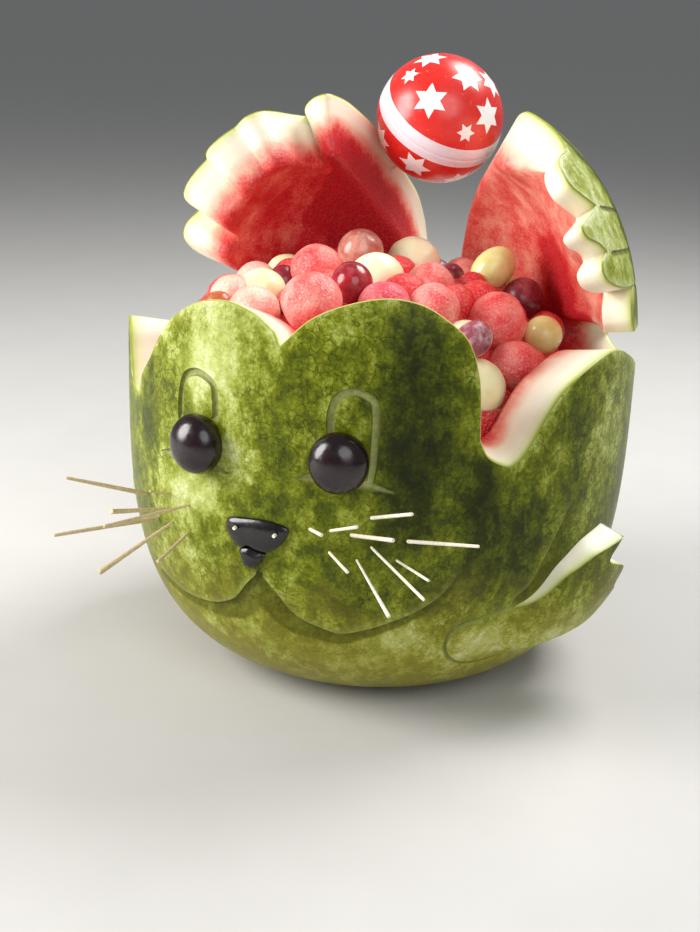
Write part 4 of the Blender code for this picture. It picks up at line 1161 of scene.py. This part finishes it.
def wood_finish(name, light, dark):
    """Wood of the picks, with fine fibres."""
    made = Finish(name, 0.55)
    fibres = made.noise(0.5, 3, 0.6, made.squeezed(0.35, 0.35, 0.35))
    colour = made.mix(made.fit(fibres, 0.35, 0.7), light, dark)
    made.colour(colour)
    made.bumps(fibres, 0.12, 0.5)
    return made.material


def plastic_finish(name, main, worn):
    """The toy ball's smooth plastic, scuffed here and there."""
    made = Finish(name, 0.28)
    scuffs = made.fit(made.noise(1.8, 5, 0.7), 0.62, 0.7, 0.0, 0.7)
    colour = made.mix(scuffs, main, worn)
    made.colour(colour)
    made.roughness(made.fit(made.noise(6, 4), 0.3, 0.7, 0.24, 0.4))
    made.bumps(made.noise(9, 2), 0.3, 0.12)
    made.shader.inputs["Coat Weight"].default_value = 0.3
    made.shader.inputs["Coat Roughness"].default_value = 0.26
    return made.material


# ---- fruit ----
def unit_ball(subdivisions):
    """Points and triangles of a sphere of radius 1."""
    work = bmesh.new()
    bmesh.ops.create_icosphere(work, subdivisions=subdivisions, radius=1.0)
    points = np.array([tuple(vertex.co) for vertex in work.verts])
    faces = [tuple(vertex.index for vertex in face.verts) for face in work.faces]
    work.free()
    return points, faces


def mound(x, y):
    """Height of the pieces' middles at a place on the heap, all in mm."""
    away = (x * x + (y - MOUND_BACK) ** 2) / MOUND_REACH ** 2
    near = math.dist((x, y), DIP_MIDDLE) / DIP_WIDTH
    dip = DIP_DEPTH * math.exp(-near * near / 2)
    return MOUND_TOP - MOUND_FALL * away - max(x - SLOPE_FROM, 0) * SLOPE - dip


def all_fruit():
    """The pieces in front, then those that they hide, set where there is room on the mound."""
    placed = list(FRUIT)
    draw = random.Random(FRUIT_SEED)
    tries = 0
    while len(placed) < len(FRUIT) + MORE_FRUIT and tries < MOST_TRIES:
        tries += 1
        angle = draw.uniform(0, 2 * math.pi)
        reach = HEAP_REACH * math.sqrt(draw.random())
        kind = draw.choice(("ball", "ball", "grape"))
        radius = draw.uniform(*(BALL_RADII if kind == "ball" else GRAPE_RADII))
        x = reach * math.sin(angle)
        y = -reach * math.cos(angle)
        z = mound(x, y) - draw.uniform(0, UNEVEN)
        free = all(math.dist((x, y, z), other[1:4]) > CROWDING * (radius + other[4])
                   for other in placed)
        if free and reach + radius <= HEAP_EDGE:
            finishes = HIDDEN_FINISHES[kind]
            finish = "red_deep" if y < RED_BEFORE else finishes[len(placed) % len(finishes)]
            placed.append((finish, x, y, z, radius, 1.0 if kind == "ball" else HIDDEN_GRAPE))
    return placed


def scooped(ball, draw, seed):
    """A ball with the flats and lumps that a scoop leaves."""
    shape = ball.copy()
    for _ in range(FLATS):
        way = np.array([draw.gauss(0, 1) for _ in range(3)])
        way /= np.linalg.norm(way)
        over = np.maximum(shape @ way - draw.uniform(*FLAT_FROM), 0)
        shape -= over[:, None] * way * FLAT_SHARE
    lumps = sum(height * wobble(shape * MM, size, seed) for height, size in LUMPS)
    return shape * (1 + lumps)[:, None]


def grape_shape(ball, draw, longer):
    """An oval that lies as it fell, or along OVAL_AXIS if it is a long one."""
    shape = ball * (np.array((1, 1, longer)) / longer ** 0.33)
    lean = Matrix.Rotation(draw.uniform(0.6, 1.5), 3, "X")
    swing = Matrix.Rotation(draw.uniform(0, 6.28), 3, "Z")
    long_axes = OVAL_AXIS.to_track_quat("Z", "Y").to_matrix()
    return shape @ np.array(long_axes if longer > LONG_GRAPE else swing @ lean).T


def make_fruit(finishes):
    """Every melon ball and grape on the heap."""
    fine = unit_ball(5)
    coarse = unit_ball(4)
    draw = random.Random(FRUIT_SEED)
    for number, (finish, x, y, z, radius, longer) in enumerate(all_fruit(), 1):
        front = number <= len(FRUIT)
        grape = finish.startswith("grape")
        ball, faces = fine if front and not grape else coarse
        shape = grape_shape(ball, draw, longer) if grape else scooped(ball, draw, number)
        middle = np.array((x, y, z if front else z - SUNK)) * MM
        new_piece(f"fruit_{number:02d}", shape * radius * MM + middle, faces, [finishes[finish]],
                  ["fruit_heap"], sharp=0)


def make_bed(finish):
    """The wet flesh and juice between and under the pieces."""
    lowest = -math.pi / 2
    side = spots_at((0, CORE_SIDE / MM))[1]
    rings = []
    for step in range(1, BED_ROWS + 1):
        tilt = lowest + (side - lowest) * step / BED_ROWS
        point = on_melon(0.0, tilt, WALL + CORE_MARGIN)
        rings.append((-point[1], point[2]))
    rings += [(CORE_EDGE * share, None) for share in np.linspace(1, 0.04, BED_RINGS)]
    points = []
    for radius, height in rings:
        for i in range(BED_SIDES):
            angle = 2 * math.pi * i / BED_SIDES
            x = radius * math.sin(angle)
            y = -radius * math.cos(angle)
            top = (mound(x / MM, y / MM) - CORE_SUNK) * MM
            if height is None:
                top += BED_LUMPS * noise.noise(Vector((x, y, 0)) * 90)
            points.append((x, y, top if height is None else height))
    new_piece("fruit_bed", points, ring_faces(len(rings), BED_SIDES), [finish], ["fruit_heap"])


# ---- eyes, nose and picks ----
def local_axes(place):
    """The skin's point, the way across it (towards the seal's left), up it and out of it."""
    turn, tilt = spots_at(place)
    step = 0.01
    point = on_melon(turn, tilt)
    across = on_melon(turn + step, tilt) - on_melon(turn - step, tilt)
    across /= np.linalg.norm(across)
    up = on_melon(turn, tilt + step) - on_melon(turn, tilt - step)
    up /= np.linalg.norm(up)
    return point, across, up, np.cross(across, up)


def make_eye(name, place, finish):
    """A slightly lumpy grape, pressed flat where it meets the skin."""
    point, across, up, out = local_axes(place)
    ball, faces = unit_ball(5)
    ball *= (1 + wobble(ball * MM, 0.9, place[1]) * 0.012)[:, None]
    wide, tall, deep = (radius * EYE_SWELL for radius in EYE_RADII)
    ball[:, 2] = np.maximum(ball[:, 2], (GAP - EYE_STANDOFF) / deep)
    points = (point + np.outer(ball[:, 0] * wide, across) + np.outer(ball[:, 1] * tall, up)
              + np.outer(ball[:, 2] * deep + EYE_STANDOFF, out))
    new_piece(name + "_grape", points, faces, [finish], [name], sharp=60)


def make_nose_piece(name, outline, finish):
    """A domed slice that follows the skin under it."""
    point, across, up, _ = local_axes(NOSE_PLACE)
    closed = np.array(outline + outline[:3], float)
    curve = smooth(closed, 5)[5:-5]
    middle = np.mean(outline, axis=0)

    def ring(share, height):
        offsets = middle + (curve - middle) * share
        flat = point + np.outer(offsets[:, 0], across) * MM + np.outer(offsets[:, 1], up) * MM
        return points_at(spots_of(flat), -height)

    rings = [ring(share, NOSE_LIFT) for share, _ in NOSE_DOME[::-1]]
    rings += [ring(share, lift * NOSE_THICK) for share, lift in NOSE_DOME]
    new_piece(name + "_slice", np.vstack(rings), ring_faces(len(rings), len(curve)), [finish],
              [name], 50)


def make_stick(name, start, end, widths, finish, replaced):
    """A round stick with rounded ends, its width given at both."""
    length = np.linalg.norm(end - start)
    axis = (end - start) / length
    across = np.cross(axis, (0.3, 0.2, 1.0))
    across /= np.linalg.norm(across)
    along = np.cross(axis, across)
    points = []
    for share, swell in STICK_PROFILE:
        width = widths[0] + (widths[1] - widths[0]) * share
        for i in range(STICK_SIDES):
            angle = 2 * math.pi * i / STICK_SIDES
            ray = across * math.cos(angle) + along * math.sin(angle)
            points.append(start + axis * length * share + ray * swell * width / 2)
    new_piece(name, points, ring_faces(len(STICK_PROFILE), STICK_SIDES), [finish], [replaced],
              50)


def make_pins(finish):
    """The ends of the picks that hold the nose."""
    point, across, up, out = local_axes(NOSE_PLACE)
    for name, (x, y) in NOSE_PINS.items():
        turn, tilt = spots_of(point + across * x * MM + up * y * MM)
        start = on_melon(turn, tilt, -(NOSE_THICK + GAP / MM))
        make_stick(name + "_stick", start, start + out * PIN_LENGTH,
                   (2 * PIN_RADIUS, 2 * PIN_RADIUS), finish, name)


def make_whiskers(finishes):
    """Picks that stand in the skin, each just clear of it."""
    for label, rows in WHISKERS.items():
        slim = SLIM[label] * MM
        for number, row in enumerate(rows, 1):
            *place, heading, lean, length, thick_root, thick_tip = row
            point, across, up, out = local_axes(place)
            heading = math.radians(heading)
            lean = math.radians(lean)
            along = across * math.cos(heading) + up * math.sin(heading)
            axis = along * math.cos(lean) + out * math.sin(lean)
            clear = (GAP + thick_root * MM / 2 * math.cos(lean)) / math.sin(lean)
            name = f"whisker_{label}_{number}"
            make_stick(name + "_stick", point + axis * clear, point + axis * length * MM,
                       (thick_root * slim, thick_tip * slim), finishes[label], name)


# ---- ball ----
def ball_middle():
    turn, radius, height = BALL_PLACE
    return way_to(turn) * radius + (0, 0, height)


def star_outline(latitude, longitude, radius, spin):
    """Unit vectors round a six-pointed star, about the band's axis as +Z."""
    lat = math.radians(latitude)
    lon = math.radians(longitude)
    out = np.array((math.cos(lat) * math.cos(lon), math.cos(lat) * math.sin(lon), math.sin(lat)))
    east = np.array((-math.sin(lon), math.cos(lon), 0))
    north = np.cross(out, east)
    corners = []
    for i in range(12):
        angle = math.radians(30 * i + spin)
        reach = radius * MM / BALL_RADIUS * (1 if i % 2 == 0 else STAR_WAIST)
        corners.append(out + (east * math.cos(angle) + north * math.sin(angle)) * reach)
    points = []
    for a, b in zip(corners, corners[1:] + corners[:1]):
        points += [a + (b - a) * t for t in (0, 0.25, 0.5, 0.75)]
    points = np.array(points)
    return points / np.linalg.norm(points, axis=1, keepdims=True)


def latitude_line(latitude):
    """Unit vectors round the band's axis."""
    lat = math.radians(latitude)
    around = np.linspace(0, 2 * math.pi, AROUND, endpoint=False)
    return np.column_stack((math.cos(lat) * np.cos(around), math.cos(lat) * np.sin(around),
                            np.full(AROUND, math.sin(lat))))


def spiral(count):
    """Unit vectors spread evenly over a ball."""
    numbers = np.arange(count) + 0.5
    heights = 1 - 2 * numbers / count
    angles = math.pi * (1 + 5 ** 0.5) * numbers
    level = np.sqrt(1 - heights ** 2)
    return np.column_stack((level * np.cos(angles), level * np.sin(angles), heights))


def ball_chart(points):
    """Unit vectors laid on a plane from the pole opposite the band's axis."""
    return points[:, :2] / (CHART_POLE + points[:, 2:3])


def from_ball_chart(flat):
    """flat = xy / (CHART_POLE + z) on the unit sphere, solved for z."""
    square = (flat ** 2).sum(axis=1)
    a = square + 1
    b = 2 * square * CHART_POLE
    c = square * CHART_POLE * CHART_POLE - 1
    z = (-b + np.sqrt(np.maximum(b * b - 4 * a * c, 0))) / (2 * a)
    return np.column_stack((flat * (CHART_POLE + z)[:, None], z))


def open_edge(faces):
    """The points round the only hole in a mesh, in order."""
    edges = dict.fromkeys(pair for face in faces for pair in zip(face, face[1:] + face[:1]))
    border = {a: b for a, b in edges if (b, a) not in edges}
    loop = [next(iter(border))]
    while border[loop[-1]] != loop[0]:
        loop.append(border[loop[-1]])
    return loop


def make_ball(red, white, band):
    """The toy ball: its stars and band are finishes of faces that follow their outlines."""
    axis = way_to(BAND_TURN, BAND_RISE)
    east = np.cross((0, 0, 1), axis)
    east /= np.linalg.norm(east)
    north = np.cross(axis, east)
    stars = [star_outline(*star) for star in STARS]
    latitudes = BAND_LOW, SEAM - SEAM_WIDTH, SEAM, SEAM + SEAM_WIDTH, BAND_HIGH
    runs = stars + [latitude_line(latitude) for latitude in latitudes]
    fixed = np.vstack(runs)
    free = spiral(BALL_POINTS)
    _, away = nearest(free, tree_of(fixed))
    free = free[away > 0.55 * math.sqrt(4 * math.pi / BALL_POINTS)]
    flat, faces, _ = triangulated(ball_chart(np.vstack((fixed, free))),
                                  run_edges(runs, [True] * len(runs)))
    middles = flat[faces].mean(axis=1)
    finish = np.full(len(faces), RED)
    for star in stars:
        finish[inside(middles, ball_chart(star))] = WHITE
    tops = from_ball_chart(middles)[:, 2]
    low, high = np.sin(np.radians((BAND_LOW, BAND_HIGH)))
    finish[(tops > low) & (tops < high)] = BAND
    # a fine seam along the band
    points = from_ball_chart(flat)
    latitude = np.degrees(np.arcsin(np.clip(points[:, 2], -1, 1)))
    scale = 1 - SEAM_DEPTH * np.clip(1 - np.abs(latitude - SEAM) / SEAM_WIDTH, 0, 1)
    # one more face closes the small hole at the far pole
    faces = [tuple(face) for face in faces.tolist()]
    faces.append(tuple(open_edge(faces)[::-1]))
    placed = (points * scale[:, None] * BALL_RADIUS) @ np.array((east, north, axis)) + ball_middle()
    piece = new_piece("toy_ball", placed, faces, [red, white, band], ["ball"], sharp=0)
    set_finishes(piece, np.append(finish, RED))


def make_ball_pick(finish):
    """The pick between the fluke and the ball, just clear of the ball."""
    way = way_to(BALL_PICK_TURN, -BALL_PICK_DIP)
    make_stick("ball_pick_stick", ball_middle() + way * (BALL_RADIUS + 2 * GAP),
               ball_middle() + way * BALL_PICK_REACH,
               (2 * BALL_PICK_RADIUS, 2 * BALL_PICK_RADIUS), finish, "ball_pick")


# ---- stage ----
def make_camera():
    """The camera; returns the ways that are right, up and nearer in its picture."""
    turn = math.radians(CAMERA_TURN)
    roll = math.radians(CAMERA_ROLL)
    level = Vector((math.cos(turn), math.sin(turn), 0))
    ahead = Vector(-way_to(CAMERA_TURN, CAMERA_DIP))
    down = ahead.cross(level)
    right = level * math.cos(roll) - down * math.sin(roll)
    below = level * math.sin(roll) + down * math.cos(roll)
    data = bpy.data.cameras.new("camera")
    data.sensor_fit = "HORIZONTAL"
    data.sensor_width = SENSOR
    data.lens = CAMERA_LENS
    data.clip_start = 0.01
    camera = linked("camera", data)
    axes = Matrix((right, -below, -ahead)).transposed().to_4x4()
    camera.matrix_world = Matrix.Translation(CAMERA_PLACE) @ axes
    bpy.context.scene.camera = camera
    return right, -below, -ahead


def add_lamp(name, way, distance, size, power, colour):
    """A soft oval lamp that looks at the melon's heart."""
    data = bpy.data.lights.new(name, "AREA")
    data.shape = "ELLIPSE"
    data.size, data.size_y = size
    data.energy = power
    data.color = colour
    lamp = linked(name, data)
    heart = Vector(HEART)
    lamp.location = heart + way.normalized() * distance
    lamp.rotation_euler = (heart - lamp.location).to_track_quat("-Z", "Y").to_euler()


def make_floor():
    """A wide floor, a little below the melon."""
    finish = Finish("floor", 0.7)
    finish.colour(finish.mix(finish.noise(40, 3), (0.55, 0.54, 0.52), (0.59, 0.58, 0.56)))
    finish.shader.inputs["Specular IOR Level"].default_value = 0.1
    mesh = bpy.data.meshes.new("floor")
    reach = FLOOR_REACH
    mesh.from_pydata([(-reach, -reach, 0), (reach, -reach, 0), (reach, reach, 0),
                      (-reach, reach, 0)], [], [(0, 1, 2, 3)])
    mesh.materials.append(finish.material)
    floor = linked("floor", mesh)
    floor.location.z = -FLOOR_DROP


def make_stage():
    right, up, near = make_camera()
    for name, (x, y, z), *rest in LAMPS:
        add_lamp(name, right * x + up * y + near * z, *rest)
    world = bpy.data.worlds.new("world")
    world.use_nodes = True
    background = world.node_tree.nodes["Background"]
    background.inputs["Color"].default_value = (*SKY, 1)
    background.inputs["Strength"].default_value = SKY_STRENGTH
    bpy.context.scene.world = world
    make_floor()
    bpy.context.scene.view_settings.view_transform = "Standard"


# ---- everything ----
make_melon(rind_finish(), flesh_finish())

fruit_finishes = {
    "red_light": red_melon_finish("melon_pink", (0.84, 0.09, 0.085), (0.92, 0.38, 0.32), 0.48),
    "red_pale": red_melon_finish("melon_blush", (0.88, 0.30, 0.24), (0.94, 0.62, 0.48), 0.5),
    "red_rose": red_melon_finish("melon_rose", (0.70, 0.03, 0.08), (0.86, 0.22, 0.24), 0.54),
    "red_bright": red_melon_finish("melon_red", (0.80, 0.04, 0.045), (0.90, 0.26, 0.22), 0.52),
    "red_deep": red_melon_finish("melon_crimson", (0.72, 0.008, 0.02), (0.80, 0.07, 0.06), 0.56),
    "honeydew": pale_melon_finish("honeydew_green", (0.88, 0.85, 0.52), (0.80, 0.78, 0.40)),
    "cream": pale_melon_finish("honeydew_cream", (0.92, 0.89, 0.62), (0.88, 0.84, 0.52)),
    "grape_red": grape_finish("grape_maroon", (0.24, 0.016, 0.03), (0.13, 0.008, 0.022),
                              (0.45, 0.22, 0.26), 0.3),
    "grape_wine": grape_finish("grape_claret", (0.40, 0.014, 0.026), (0.22, 0.01, 0.02),
                               (0.66, 0.3, 0.3), 0.2, 0.12),
    "grape_brown": grape_finish("grape_russet", (0.50, 0.17, 0.05), (0.40, 0.06, 0.03),
                                (0.6, 0.35, 0.2), 0.25),
    "grape_blush": grape_finish("grape_blush", (0.60, 0.26, 0.19), (0.44, 0.12, 0.09),
                                (0.84, 0.66, 0.56), 0.35, 0.14),
    "grape_bloom": grape_finish("grape_dusky", (0.40, 0.10, 0.10), (0.24, 0.05, 0.09),
                                (0.72, 0.60, 0.64), 0.75, 0.3),
    "grape_green": grape_finish("grape_amber", (0.76, 0.80, 0.36), (0.66, 0.66, 0.24),
                                (0.84, 0.86, 0.50), 0.25, 0.12, (0.9, 1.0, 0.4))}
make_fruit(fruit_finishes)
make_bed(fruit_finishes["red_deep"])

black = grape_finish("grape_black", (0.004, 0.001, 0.002), (0.016, 0.002, 0.005),
                     (0.05, 0.024, 0.034), 0.15, 0.17, shine=0.62)
ink = grape_finish("grape_ink", (0.003, 0.0025, 0.003), (0.006, 0.004, 0.005),
                   (0.03, 0.024, 0.026), 0.25, 0.17, shine=0.6)
for eye, eye_place in EYE_PLACES.items():
    make_eye(eye, eye_place, black)
make_nose_piece("nose_bridge", NOSE_BRIDGE, ink)
make_nose_piece("nose_tip", NOSE_TIP, ink)
warm_wood = wood_finish("pick_warm", (0.68, 0.55, 0.33), (0.50, 0.38, 0.20))
white_wood = wood_finish("pick_pale", (0.86, 0.82, 0.68), (0.74, 0.67, 0.50))
make_pins(white_wood)
make_whiskers({"left": white_wood, "right": warm_wood})
red_plastic = plastic_finish("ball_red_plastic", (0.68, 0.02, 0.014), (0.88, 0.30, 0.18))
white_plastic = plastic_finish("ball_star", (0.90, 0.90, 0.90), (0.80, 0.80, 0.80))
band_plastic = plastic_finish("ball_band", (0.80, 0.78, 0.86), (0.88, 0.87, 0.9))
make_ball(red_plastic, white_plastic, band_plastic)
make_ball_pick(white_wood)
make_stage()
